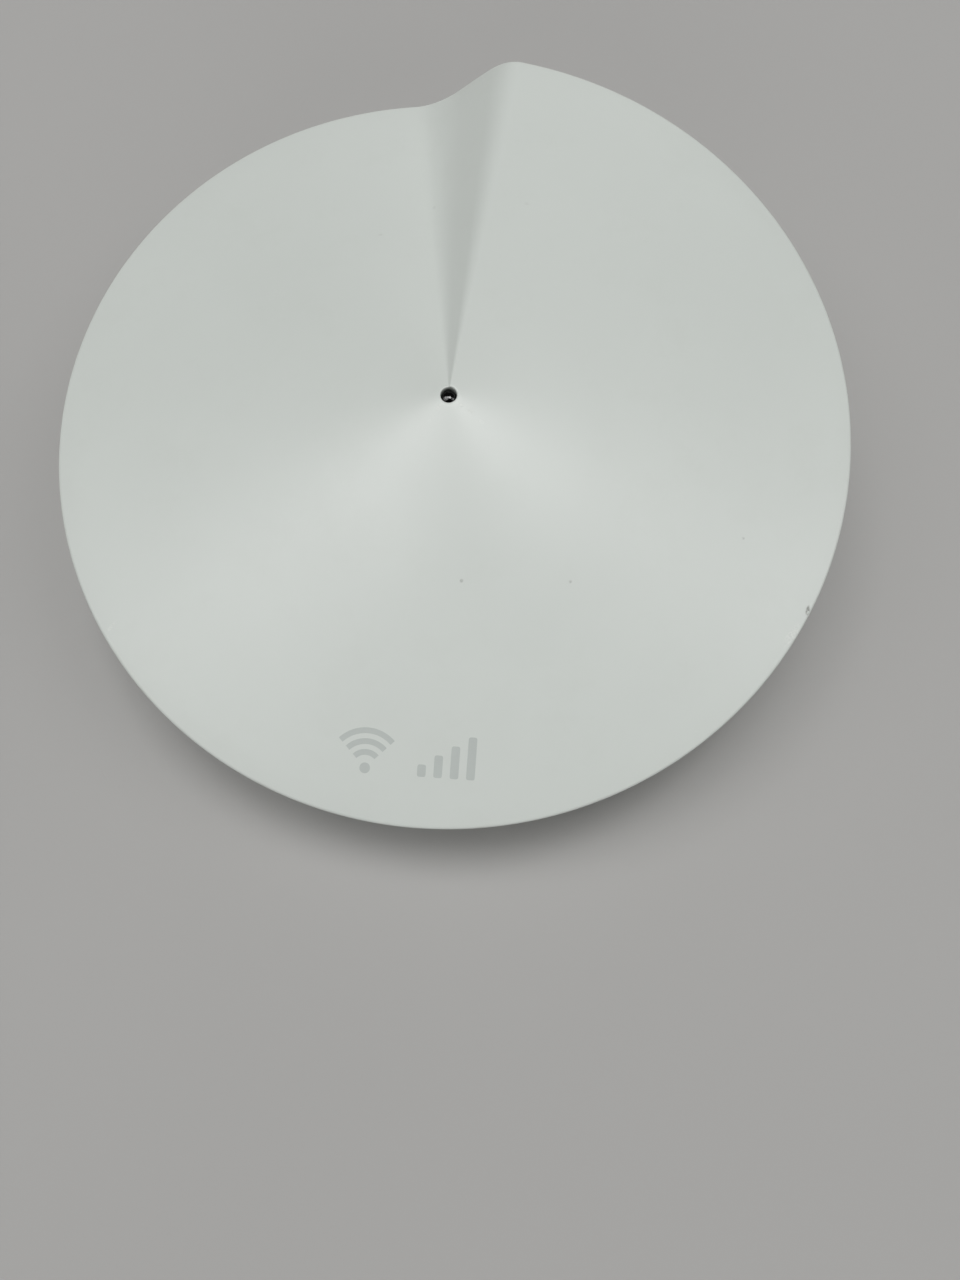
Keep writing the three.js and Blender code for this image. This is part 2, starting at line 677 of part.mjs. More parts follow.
// ---- heat sink above the board and spreader below it, clamped by two long screws

const SCREW_SEAT = BOARD.top + CAN.height + PAD.thickness + SINK.plate;

function heatSink() {
  const base = SCREW_SEAT - SINK.plate;
  let sink = block(SINK.x, SINK.y, [base, SCREW_SEAT]);
  const span = SINK.x[1] - SINK.x[0] - SINK.fin;
  for (let i = 0; i < SINK.fins; i++) {
    const x = SINK.x[0] + (span * i) / (SINK.fins - 1);
    sink = join(sink, block([x, x + SINK.fin], SINK.y, [SCREW_SEAT - BITE, SINK.top]));
  }
  for (const [x, y] of SINK_SCREWS) {
    sink = join(sink, post(x, y, SINK.leg, BOARD.top, base + BITE, 14));
    sink = cut(
      sink,
      post(x, y, SINK_SCREW_HOLE.headRoom, SCREW_SEAT, SINK.top + PAST, 14),
      post(x, y, SINK_SCREW_HOLE.loose, 0, SINK.top, 12),
    );
  }
  return cut(sink, post(0, 0, SLEEVE.outer + 2 * FIT_GAP, 0, SINK.top + PAST, 16));
}

add('heat_sink', heatSink(), 'aluminium');

/** A plate under the board, with a threaded leg at each screw. */
function heatSpreader() {
  const { bottom, top } = SPREADER;
  let spreader = block(SINK.x, SINK.y, [bottom, top]);
  for (const [x, y] of SINK_SCREWS) {
    spreader = join(spreader, post(x, y, SINK.leg, top - BITE, BOARD.bottom, 14));
    spreader = cut(spreader, post(x, y, SINK_SCREW_HOLE.pilot, 0, BOARD.top, 12));
  }
  return spreader;
}

add('heat_spreader', heatSpreader(), 'aluminium');
add('thermal_pad_lower', block(SPREADER.pad.x, SPREADER.pad.y, [SPREADER.top, BOARD.bottom]), 'pad');
const sinkScrew = { ...SCREW.sink, length: SCREW_SEAT - SPREADER.bottom - FIT_GAP };
SINK_SCREWS.forEach(([x, y], i) => {
  add(`heat_sink_screw_${i + 1}`, screw(x, y, SCREW_SEAT, 1, sinkScrew), 'steel');
});

// ---- antennas stand on a plastic carrier round the board, each with its own lead

function antennaCarrier() {
  const { inner, outer, bottom, top, from, to } = CARRIER;
  let carrier = toSolid(plate(sector(inner, outer, from, to), bottom, top, 16));
  const { inset, edgeGap, half } = CARRIER_LEG;
  for (const angle of CARRIER_LEG.angles) {
    const leg = block([inner + inset, BOARD.radius - edgeGap], [-half, half], [BOARD.top, bottom + BITE]);
    carrier = join(carrier, leg.rotateZ(angle));
  }
  const clearance = CASE_SCREW.post + FIT_GAP;
  const posts = CASE_SCREW.angles.map((angle) => polar(CASE_SCREW.ring, angle));
  return cut(carrier, ...posts.map(([x, y]) => post(x, y, clearance, bottom - PAST, top + PAST, 16)));
}

add('antenna_carrier', antennaCarrier(), 'carrier');

/** A thin bent sheet with a slot that leaves it an inverted F. */
function antenna(angle) {
  const { radius, sheet, top, reach, foot, slotFrom, slotTo } = ANTENNA;
  const strip = plate(sector(radius, radius + sheet, angle - reach, angle + reach), CARRIER.top, top, 3);
  const slot = sector(radius - PAST, radius + sheet + PAST, angle - reach + foot, angle + reach + DEG);
  return cut(strip, plate(slot, slotFrom, slotTo, 3));
}

/** A coax lead that leaves its antenna square to it. */
function antennaLead(angle) {
  const route = new THREE.CatmullRomCurve3(
    LEAD_STOPS.map(([radius, z]) => new THREE.Vector3(...polar(radius, angle), z)),
  );
  const section = new THREE.Shape().absarc(0, 0, LEAD_RADIUS, 0, TURN, false);
  return new THREE.ExtrudeGeometry(section, { steps: 14, curveSegments: 3, extrudePath: route });
}

ANTENNA.angles.forEach((angle, i) => {
  add(`wifi_antenna_${i + 1}`, antenna(angle), 'gold');
  add(`antenna_lead_${i + 1}`, antennaLead(angle), 'lead');
});
add('bluetooth_antenna', onBoard(CHIP_ANTENNA.x, CHIP_ANTENNA.y, CHIP_ANTENNA.size), 'ferrite');

export default node;
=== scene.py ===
"""Looks for the mesh wifi node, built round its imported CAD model.

Blender works in metres with +Z up. The node's front is at -Y and its sockets are at +Y.
"""
import json
import math

import bmesh
import bpy
import numpy as np
from mathutils import Matrix, Vector


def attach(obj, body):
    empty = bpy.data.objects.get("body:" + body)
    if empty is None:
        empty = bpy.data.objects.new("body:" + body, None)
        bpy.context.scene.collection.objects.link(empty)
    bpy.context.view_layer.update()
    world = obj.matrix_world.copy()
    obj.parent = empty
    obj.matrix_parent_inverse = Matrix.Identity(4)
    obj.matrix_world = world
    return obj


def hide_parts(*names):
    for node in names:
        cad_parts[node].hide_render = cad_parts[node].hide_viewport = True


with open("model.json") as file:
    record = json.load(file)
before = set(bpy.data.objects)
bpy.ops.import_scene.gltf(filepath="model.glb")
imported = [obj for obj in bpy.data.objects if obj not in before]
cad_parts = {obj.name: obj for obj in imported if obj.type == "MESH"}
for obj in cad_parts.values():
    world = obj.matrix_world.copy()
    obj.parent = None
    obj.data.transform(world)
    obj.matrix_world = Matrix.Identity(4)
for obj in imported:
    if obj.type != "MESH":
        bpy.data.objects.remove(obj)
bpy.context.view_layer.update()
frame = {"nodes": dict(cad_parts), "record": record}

MM = 0.001
DEG = math.pi / 180
TURN = 2 * math.pi
BODY = "housing"
MERGE = 1e-7
SLIVER = 1e-6
# Edges sharper than this many degrees stay sharp in the shading.
SHARP = 35
COVER_SHARP = 50
BASE_SHARP = 32

# ---------------------------------------------------------------- sizes, in millimetres
# A profile is a list of corners: radius, height and corner radius.

COVER_R = 60.0
HEIGHT = 38.0
RIM_LOW = 21.3
RIM_HIGH = 32.1
STEP_AT = 91.75 * DEG
STEP_WIDTH = 16.6 * DEG
STEP_FOOT = 0.45
STEP_CREST = 0.29
COVER_WALL = 2.2
COVER_COLUMNS = 720
COVER_RINGS = 26
SKIRT_R = (54.7, 56.1)
SKIRT_DEEP = 3
SEAM = 0.4

HOLE_R = 1.15
HOLE_DEEP = 1.3
HUB_R = (2.0, 3.6)
HUB_DEEP = 4.2
TIP_R = 0.95
TIP_EDGE = 37.15
TIP_DOME_R = 2.2
PIPE_PROFILE = [
    (0, 8.1, 0), (1.6, 8.1, 0.15), (1.6, 33.4, 0.1), (1.8, 34.0, 0.1), (1.8, 36.0, 0.15),
    (TIP_R, 36.4, 0.1), (TIP_R, TIP_EDGE, 0),
]
SLEEVE_PROFILE = [(2.1, 7.0, 0.1), (3.0, 7.0, 0.1), (3.0, 33.3, 0.25), (2.1, 33.3, 0.25)]

BASE_Z = 1.0
FLOOR_Z = 2.8
FLAT_R = 49.5
WALL_R = 58.6
BASE_WALL = 2.0
BASE_COLUMNS = 480
FLAT_RINGS = (0.0, 20.0, 40.0)
# The lip's outer edge: how far in from the wall and how far down from the top.
LIP_EDGE = ((0, 0.35), (0.08, 0.12), (0.35, 0))
LIP_INNER = 0.2

BAY_HALF = 25.5
BAY_FACE = 47.6
BAY_LOW = 5.2
BAY_HIGH = 17.2
BAY_WALL = 1.8
BAY_FILL_COLUMNS = 240
BAY_FILL_TOP = 19.0
BAY_SKIN = 0.02
BAY_CUT = (BAY_FACE - 3, BAY_FACE + 1)

VENT_COUNT = 36
VENT_WIDTH = 1.4
VENT_FROM = 50.6
VENT_TO = 57.0
VENT_LOW = 2.0
VENT_HIGH = 7.5
VENT_CLEAR = 34 * DEG

JACK_XS = (-2.0, 15.5)
JACK_HALF = 6.15
JACK_LOW = 9.4
JACK_HIGH = 16.95
LATCH_HALF = 3.4
LATCH_LOW = 7.7
CONTACT_COUNT = 8
CONTACT_PITCH = 1.02
CONTACT_R = 0.17
CONTACT_STOPS = ((33.2, 15.6), (35.4, 15.62), (39.0, 15.95), (42.8, 16.5))
COMB_HALF = 4.3
COMB_DEEP = (32.2, 34.6)
COMB_TALL = (15.4, 16.7)

USB_X = -18.75
USB_Z = 8.65
USB_BACK = 39.5
USB_FRONT = 47.3
USB_WALL = 0.8
USB_HOLE = (9.8, 4.1)
USB_OUTSIDE = (9.0, 3.3)
USB_MOUTH = (8.4, 2.7)
USB_ROOT = (8.2, 2.5)
USB_ROOT_DEEP = (USB_BACK + 0.9, USB_BACK + 2.0)
TONGUE_HALF = 3.3
TONGUE_THICK = 0.33
TONGUE_DEEP = (USB_BACK + 1.9, 46.6)
PAD_COUNT = 12
PAD_PITCH = 0.5
PAD_HALF = 0.13
PAD_THICK = 0.04
PAD_DEEP = (42.3, 46.3)

FOOT_SIDES = 240
LABEL_SIDES = 192
RESET_SIDES = 48
FOOT_RECESS = ((39.8, 47.7), 1.75)
FOOT_PROFILE = [
    (40.0, 0.0, 0.4), (42.6, 0.0, 0.1), (42.9, 0.35, 0.1), (43.2, 0.0, 0.1), (44.3, 0.0, 0.1),
    (44.6, 0.35, 0.1), (44.9, 0.0, 0.1), (47.5, 0.0, 0.4), (47.5, 1.75, 0), (40.0, 1.75, 0),
]
LABEL_RECESS = (26.5, 1.4)
LABEL_PROFILE = [(0, 1.12, 0), (26.0, 1.12, 0.12), (26.0, 1.4, 0), (0, 1.4, 0)]
RESET_AT = (0, -35)
RESET_HOLE_PROFILE = [
    (0, 0.0, 0), (1.6, 0.0, 0), (1.6, 1.0, 0), (1.25, 1.35, 0), (1.25, 3.5, 0), (0, 3.5, 0),
]
BUTTON_PROFILE = [
    (0, 2.0, 0), (0.9, 2.0, 0.25), (0.9, 4.2, 0), (1.45, 4.2, 0.1), (1.45, 4.6, 0.1), (0, 4.6, 0),
]

BOARD_R = 49.0
BOARD_LOW = 5.4
BOARD_TOP = 7.0
BOARD_BACK = 45.2
BOARD_DRILL = (5, 8)
CASE_SCREWS = (35, 145, 215, 325)
CASE_RING = 43.75
BOARD_SCREWS = ((42.5, 0), (-42.5, 0), (0, -42))
SINK_SCREWS = ((-29, -23), (29, 13))
SINK_SEAT = 12.6
# Holes in the board for the cover's posts and for its own and the heat sink's screws.
POST_HOLE_R = 3.4
BOARD_HOLE_R = 1.1
SINK_HOLE_R = 1.3
# Head radius, head height, shank radius and shank length.
CASE_SCREW = (2.4, 1.45, 1.0, 8.0)
BOARD_SCREW = (1.8, 1.4, 0.75, 4.0)
SINK_SCREW = (2.2, 1.6, 1.0, 9.2)
THREAD_PITCH = 0.5
THREAD_DEEP = 0.13
# Heights above a screw's tip of its point and its first thread, the length with no thread, and the neck.
SCREW_POINT = 0.4
THREAD_START = 0.5
THREAD_CLEAR = 0.7
SCREW_NECK = 0.15
# Shares: tip to shank radius, thread flank to pitch, and the straight edge and recess floor to head height.
TIP_SHARE = 0.5
FLANK_SHARE = 0.4
EDGE_SHARE = 0.45
RECESS_FLOOR = 0.35
# The cross recess's arm and half width, as shares of the head's radius.
RECESS_ARM = 0.52
RECESS_HALF = 0.12

POST_R = 3.0
POST_LOW = 5.1
POST_ROOT = 0.3
POST_PILOT_R = 1.15
POST_THREAD = 9
RELIEF_HALF = 29.1
RELIEF_DEEP = (41.6, 57.1)
RELIEF_TALL = (5.2, 19.6)
BOSS_R = 4.0
BOSS_TOP = 4.8
BOSS_RECESS_R = 2.7
BOSS_SEAT = 3.4
BOSS_HOLE_R = 1.5
STANDOFF_R = 2.8
STANDOFF_PILOT_R = 0.9
BOSS_ROOT = 0.5
BOSS_EDGE = 0.2

CAPACITORS = ((-20, 26), (-27, 34))
CAN_TOP = BOARD_TOP + 7.7
CAN_PROFILE = [
    (0, BOARD_TOP, 0), (3.15, BOARD_TOP, 0.1), (3.15, 8.0, 0.2), (2.9, 8.3, 0.3), (3.15, 8.6, 0.2),
    (3.15, CAN_TOP, 0.4), (2.6, CAN_TOP, 0.1), (2.5, CAN_TOP - 0.1, 0.1), (0, CAN_TOP - 0.1, 0),
]
CAN_SCORE = (1.9, 0.09)
CAN_SCORE_DEEP = 0.22
ANTENNA_ANGLES = (160, 225, 315, 20)
LEAD_R = 0.55
LEAD_STOPS = (
    (48, 17.7), (46, 17.6), (43.6, 17), (42.4, 14.5),
    (41.9, 11), (41.2, 8.6), (39.8, 7.8), (38, 7.65),
)
PLUG_RING = 37.4
PLUG_PROFILE = [(0, BOARD_TOP, 0), (1.3, BOARD_TOP, 0.05), (1.3, 8.1, 0.15), (1.0, 8.3, 0.1), (0, 8.3, 0)]

MARK_AT = (-8.0, -50.0)
FAN_DOT = 0.75
FAN_DROP = 2.2
FAN_ARCS = (2.2, 3.7, 5.2)
FAN_HALF_LINE = 0.4
FAN_SPREAD = (45 * DEG, 135 * DEG)
BAR_COUNT = 4
BAR_FROM = 7.4
BAR_PITCH = 2.3
BAR_WIDTH = 1.2
BAR_FOOT = -2.9
BAR_TOP = -1.2
BAR_RISE = 1.4
BAR_CORNER = 0.35
INK_LAYER = (0.004, 0.02)


# ---------------------------------------------------------------- the swirl

def smooth_step_share(t):
    """Share of the step's height at share t of its width: a hollow foot, a straight flank, a round crest."""
    slope = 1 / (1 - STEP_FOOT / 2 - STEP_CREST / 2)
    foot = slope * t * t / (2 * STEP_FOOT)
    crest = 1 - slope * (1 - t) ** 2 / (2 * STEP_CREST)
    return np.where(t < STEP_FOOT, foot, np.where(t > 1 - STEP_CREST, crest, slope * (t - STEP_FOOT / 2)))


def rim_height(angle):
    """Height of the cover's edge: it climbs steadily once round and drops back in one step."""
    past = np.mod(np.asarray(angle, float) - STEP_AT, TURN)
    half = STEP_WIDTH / 2
    rise = RIM_HIGH - RIM_LOW
    climb = RIM_LOW + rise * (past - half) / (TURN - STEP_WIDTH)
    from_low = np.where(past < math.pi, half - past, half + TURN - past)
    step = RIM_LOW + rise * smooth_step_share(np.clip(from_low / STEP_WIDTH, 0, 1))
    return np.where((past >= half) & (past <= TURN - half), climb, step)


def cover_height(radius, angle):
    """Height of the cover's top: straight lines from the centre to the edge."""
    return HEIGHT + (rim_height(angle) - HEIGHT) * radius / COVER_R


def wall_top(angle):
    """Height of the base's wall, just under the cover."""
    return rim_height(angle) - COVER_WALL - SEAM


# ---------------------------------------------------------------- mesh helpers

def piece(name, verts, faces, material, body=BODY, replaces=(), slot=None, sharp=SHARP):
    """A new mesh object, from millimetres, that rides on a body and stands for CAD nodes."""
    obj = loose(name, verts, faces)
    obj.data.polygons.foreach_set("use_smooth", [True] * len(obj.data.polygons))
    obj.data.set_sharp_from_angle(angle=sharp * DEG)
    obj.data.materials.append(material)
    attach(obj, body)
    if replaces:
        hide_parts(*replaces)
    return obj


def loose(name, verts, faces):
    """A new mesh object, from millimetres, with stray points merged and faces turned outwards."""
    mesh = bpy.data.meshes.new(name)
    mesh.from_pydata([tuple(MM * c for c in v) for v in verts], [], faces)
    bm = bmesh.new()
    bm.from_mesh(mesh)
    bmesh.ops.remove_doubles(bm, verts=bm.verts, dist=MERGE)
    bmesh.ops.recalc_face_normals(bm, faces=bm.faces)
    bm.to_mesh(mesh)
    bm.free()
    obj = bpy.data.objects.new(name, mesh)
    bpy.context.scene.collection.objects.link(obj)
    return obj


def rounded(corners, steps=5, closed=True):
    """An outline whose corners (x, y, radius) are turned into arcs."""
    out = []
    count = len(corners)
    for i, (x, y, radius) in enumerate(corners):
        if radius <= 0 or (not closed and i in (0, count - 1)):
            out.append((x, y))
            continue
        here = Vector((x, y))
        before = Vector(corners[i - 1][:2]) - here
        after = Vector(corners[(i + 1) % count][:2]) - here
        reach = min(radius, 0.49 * before.length, 0.49 * after.length)
        start = here + before.normalized() * reach
        end = here + after.normalized() * reach
        for k in range(steps + 1):
            t = k / steps
            out.append(tuple((1 - t) ** 2 * start + 2 * t * (1 - t) * here + t * t * end))
    return out


def turns(start, end, steps):
    """Angles from start to end, both included, in equal steps."""
    return [start + (end - start) * k / steps for k in range(steps + 1)]


def at_angle(radius, degrees):
    """The point (x, y) at a distance from the axis and a plan angle."""
    return radius * math.cos(degrees * DEG), radius * math.sin(degrees * DEG)


def column_angles(columns):
    return TURN * np.arange(columns) / columns


def stacked(rings, closed=False):
    """Points and faces of rings joined in order; a ring is a radius and its height at each column."""
    columns = len(rings[0][1])
    angles = column_angles(columns)
    verts, faces = [], []
    for radius, z in rings:
        verts += list(zip(radius * np.cos(angles), radius * np.sin(angles), z))
    for ring in range(len(rings) if closed else len(rings) - 1):
        a = ring * columns
        b = ((ring + 1) % len(rings)) * columns
        faces += [(a + c, a + (c + 1) % columns, b + (c + 1) % columns, b + c) for c in range(columns)]
    return verts, faces


def lathe(profile, columns=96, at=(0, 0)):
    """A plain turned solid. The profile ends on the axis or closes on itself."""
    rings = [(radius, np.full(columns, z)) for radius, z in profile]
    verts, faces = stacked(rings, closed=profile[0][0] > 0)
    return [(x + at[0], y + at[1], z) for x, y, z in verts], faces


def prism(outline, low, high, axis="z"):
    """A straight solid of one outline, between two levels of an axis."""
    place = {
        "z": lambda u, v, w: (u, v, w),
        "y": lambda u, v, w: (u, w, v),
        "x": lambda u, v, w: (w, u, v),
    }[axis]
    count = len(outline)
    verts = [place(u, v, low) for u, v in outline] + [place(u, v, high) for u, v in outline]
    faces = [tuple(range(count))[::-1], tuple(range(count, 2 * count))]
    faces += [(i, (i + 1) % count, count + (i + 1) % count, count + i) for i in range(count)]
    return verts, faces


def box_outline(x0, x1, y0, y1, radius=0.0, steps=5):
    return rounded([(x0, y0, radius), (x1, y0, radius), (x1, y1, radius), (x0, y1, radius)], steps)


def stadium(x, z, width, height, steps=24):
    """A slot's outline with round ends, centred on (x, z)."""
    radius = height / 2
    reach = width / 2 - radius
    half_turn = turns(-math.pi / 2, math.pi / 2, steps)
    right = [(x + reach + radius * math.cos(t), z + radius * math.sin(t)) for t in half_turn]
    left = [(x - reach - radius * math.cos(t), z - radius * math.sin(t)) for t in half_turn]
    return right + left


def round_bar(at, radius, low, high, edge=0.0):
    """An upright round bar; edge is the radius at the rim of its two ends."""
    profile = [(0, low, 0), (radius, low, edge), (radius, high, edge), (0, high, 0)]
    return lathe(rounded(profile, closed=False), 48, at)


def merged(*parts):
    """Several point and face lists as one."""
    verts, faces = [], []
    for part_verts, part_faces in parts:
        offset = len(verts)
        verts += list(part_verts)
        faces += [tuple(i + offset for i in face) for face in part_faces]
    return verts, faces


def turned_part(part, angle):
    """A part turned about Z."""
    verts, faces = part
    c, s = math.cos(angle), math.sin(angle)
    return [(c * x - s * y, s * x + c * y, z) for x, y, z in verts], faces


def combine(obj, operation, *tools, crossing=False):
    """Joins closed parts to an object or cuts them out of it; crossing says that the parts overlap."""
    boolean(obj, operation, loose("helper", *merged(*tools)), crossing)


def boolean(obj, operation, other, crossing=False):
    """Combines an object's mesh with another object's, for good, and removes the other object."""
    modifier = obj.modifiers.new("boolean", "BOOLEAN")
    modifier.operation = operation
    modifier.solver = "EXACT"
    modifier.object = other
    modifier.use_self = crossing
    bpy.context.view_layer.update()
    evaluated = obj.evaluated_get(bpy.context.evaluated_depsgraph_get())
    mesh = bpy.data.meshes.new_from_object(evaluated)
    obj.modifiers.remove(modifier)
    old, obj.data = obj.data, mesh
    bpy.data.meshes.remove(old)
    bpy.data.objects.remove(other)


def finish_normals(obj, sharp=SHARP):
    """Clears slivers that booleans leave and shades an object smooth between edges sharper than an angle."""
    bm = bmesh.new()
    bm.from_mesh(obj.data)
    bmesh.ops.remove_doubles(bm, verts=bm.verts, dist=SLIVER)
    bmesh.ops.dissolve_degenerate(bm, edges=bm.edges, dist=SLIVER)
    for face in bm.faces:
        face.smooth = True
    bm.to_mesh(obj.data)
    bm.free()
    obj.data.set_sharp_from_angle(angle=sharp * DEG)


# ---------------------------------------------------------------- materials

class Look:
    """A material's node tree, with short calls for its nodes."""

    def __init__(self, name, **shader):
        self.material = bpy.data.materials.new(name)
        self.material.use_nodes = True
        self.tree = self.material.node_tree
        self.tree.nodes.clear()
        output = self.tree.nodes.new("ShaderNodeOutputMaterial")
        self.shader = self.tree.nodes.new("ShaderNodeBsdfPrincipled")
        self.tree.links.new(self.shader.outputs[0], output.inputs[0])
        for key, value in shader.items():
            self.shader.inputs[key.replace("_", " ")].default_value = value
        self.coords = self.tree.nodes.new("ShaderNodeTexCoord").outputs["Object"]

    def node(self, kind, *inputs, out=0, **settings):
        """A node with its inputs linked or set in order; returns one output."""
        node = self.tree.nodes.new("ShaderNode" + kind)
        for key, value in settings.items():
            setattr(node, key, value)
        for socket, value in zip(node.inputs, inputs):
            self.put(socket, value)
        return node.outputs[out]

    def put(self, socket, value):
        if value is None:
            return
        if isinstance(value, bpy.types.NodeSocket):
            self.tree.links.new(value, socket)
        else:
            socket.default_value = value

    def math(self, operation, a, b):
        return self.node("Math", a, b, operation=operation)

    def scaled(self, scale):
        """The object's coordinates times a number or three."""
        scale = (scale,) * 3 if isinstance(scale, (int, float)) else scale
        return self.node("VectorMath", self.coords, scale, operation="MULTIPLY")

    def from_axis(self):
        """Distance from the object's upright axis, in metres."""
        flat = self.node("VectorMath", self.coords, (1, 1, 0), operation="MULTIPLY")
        return self.node("VectorMath", flat, operation="LENGTH", out=1)

    def noise(self, size_mm, detail=3.0, rough=0.55, stretch=(1, 1, 1)):
        """Noise whose features are about size_mm across, from 0 to 1."""
        node = self.tree.nodes.new("ShaderNodeTexNoise")
        self.tree.links.new(self.scaled(tuple(s / (size_mm * MM) for s in stretch)), node.inputs["Vector"])
        node.inputs["Scale"].default_value = 1.0
        node.inputs["Detail"].default_value = detail
        node.inputs["Roughness"].default_value = rough
        return node.outputs["Fac"]

    def remap(self, value, low, high, to_low=0.0, to_high=1.0, smooth=False):
        kind = "SMOOTHSTEP" if smooth else "LINEAR"
        return self.node("MapRange", value, low, high, to_low, to_high, interpolation_type=kind)

    def mix(self, share, a, b):
        node = self.tree.nodes.new("ShaderNodeMix")
        node.data_type = "RGBA"
        self.put(node.inputs["Factor"], share)
        self.put(node.inputs["A"], a)
        self.put(node.inputs["B"], b)
        return node.outputs["Result"]

    def near(self, x, y, radius, soft=0.5, stretch=1.0, angle=0.0):
        """1 inside an ellipse in plan and 0 outside it; sizes in millimetres."""
        moved = self.node("VectorMath", self.coords, (x * MM, y * MM, 0), operation="SUBTRACT")
        if angle:
            moved = self.node("VectorRotate", moved, None, None, -angle, rotation_type="Z_AXIS")
        flat = self.node("VectorMath", moved, (1 / stretch, 1, 0), operation="MULTIPLY")
        distance = self.node("VectorMath", flat, operation="LENGTH", out=1)
        return self.remap(distance, radius * MM * (1 - soft), radius * MM, 1.0, 0.0, smooth=True)

    def bump(self, height, depth_mm, strength=1.0, normal=None):
        node = self.tree.nodes.new("ShaderNodeBump")
        node.inputs["Distance"].default_value = depth_mm * MM
        node.inputs["Strength"].default_value = strength
        self.put(node.inputs["Height"], height)
        self.put(node.inputs["Normal"], normal)
        return node.outputs["Normal"]

    def surface(self, color=None, roughness=None, normal=None):
        for key, value in (("Base Color", color), ("Roughness", roughness), ("Normal", normal)):
            self.put(self.shader.inputs[key], value)
        return self.material


def rgb(r, g, b):
    """A display colour, 0 to 255, as linear light with alpha."""
    light = [(c / 255 / 12.92) if c <= 10 else ((c / 255 + 0.055) / 1.055) ** 2.4 for c in (r, g, b)]
    return (*light, 1.0)


def shade(color, factor):
    return tuple(c * factor for c in color[:3]) + (1.0,)


def grained(name, color, roughness, grain_mm, depth_mm, spread=0.04, patch_mm=18):
    """A moulded or coated surface: fine grain in its relief, slow drift in colour and gloss."""
    look = Look(name)
    patches = look.noise(patch_mm, detail=4)
    tint = look.mix(look.remap(patches, 0.3, 0.7), shade(color, 1 - spread), shade(color, 1 + spread))
    grain = look.noise(grain_mm, detail=2)
    gloss = look.remap(look.noise(patch_mm / 4), 0.3, 0.7, roughness - 0.06, roughness + 0.06)
    return look.surface(tint, gloss, look.bump(grain, depth_mm, 0.6))


def brushed(name, color, roughness, stretch=(1, 12, 12), size_mm=0.8):
    """Metal with fine lines one way, smudges and a little tarnish."""
    look = Look(name, Metallic=1.0)
    lines = look.noise(size_mm * 12, detail=4, stretch=stretch)
    smudge = look.noise(6, detail=3)
    tint = look.mix(look.remap(smudge, 0.35, 0.7), shade(color, 0.86), color)
    gloss = look.remap(lines, 0.3, 0.7, roughness - 0.08, roughness + 0.12)
    return look.surface(tint, gloss, look.bump(lines, 0.01, 0.5))


# ---------------------------------------------------------------- the photographed surface

COVER_WHITE = rgb(214, 219, 214)
BASE_WHITE = rgb(208, 213, 208)
# Marks of use on the cover, in plan: x, y, radius, stretch, turn in degrees, strength.
SPECKS = [
    (3.7, -25.6, 0.35, 1.0, 0, 0.4),
    (18.9, -24.5, 0.3, 1.4, 30, 0.35),
    (43.7, -15.7, 0.3, 1.0, 0, 0.3),
    (-13.0, 29.5, 0.35, 1.8, 10, 0.10),
    (-5.2, 35.6, 0.35, 1.6, 80, 0.08),
    (9.2, 33.0, 0.35, 1.8, 5, 0.10),
    (53.85, -25.2, 0.4, 2.4, 80, 0.85),
]
# Painted highlights round the light hole and on the left edge, plus a lighter scuff by the nick at the right
# edge; same columns.
GLINTS_AND_SCUFFS = [
    (51.7, -28.9, 1.0, 2.6, 60, 0.6),
    (-47.2, -34.4, 0.35, 3.5, 52, 0.7),
    (-1.25, -1.9, 0.4, 2.2, 62, 0.6),
    (-2.5, -4.0, 0.35, 2.0, 66, 0.4),
    (1.7, -1.35, 0.35, 1.8, -30, 0.7),
    (3.1, -2.1, 0.4, 2.0, -28, 0.45),
    (4.9, -3.4, 0.4, 1.5, -35, 0.3),
]
RUST = (54.2, -26.2, 0.4)


def strongest(look, marks):
    """The strongest of several elliptical marks at each point."""
    spots = [
        look.math("MULTIPLY", look.near(x, y, size, 0.7, stretch, turn * DEG), strength)
        for x, y, size, stretch, turn, strength in marks
    ]
    total = spots[0]
    for spot in spots[1:]:
        total = look.math("MAXIMUM", total, spot)
    return total


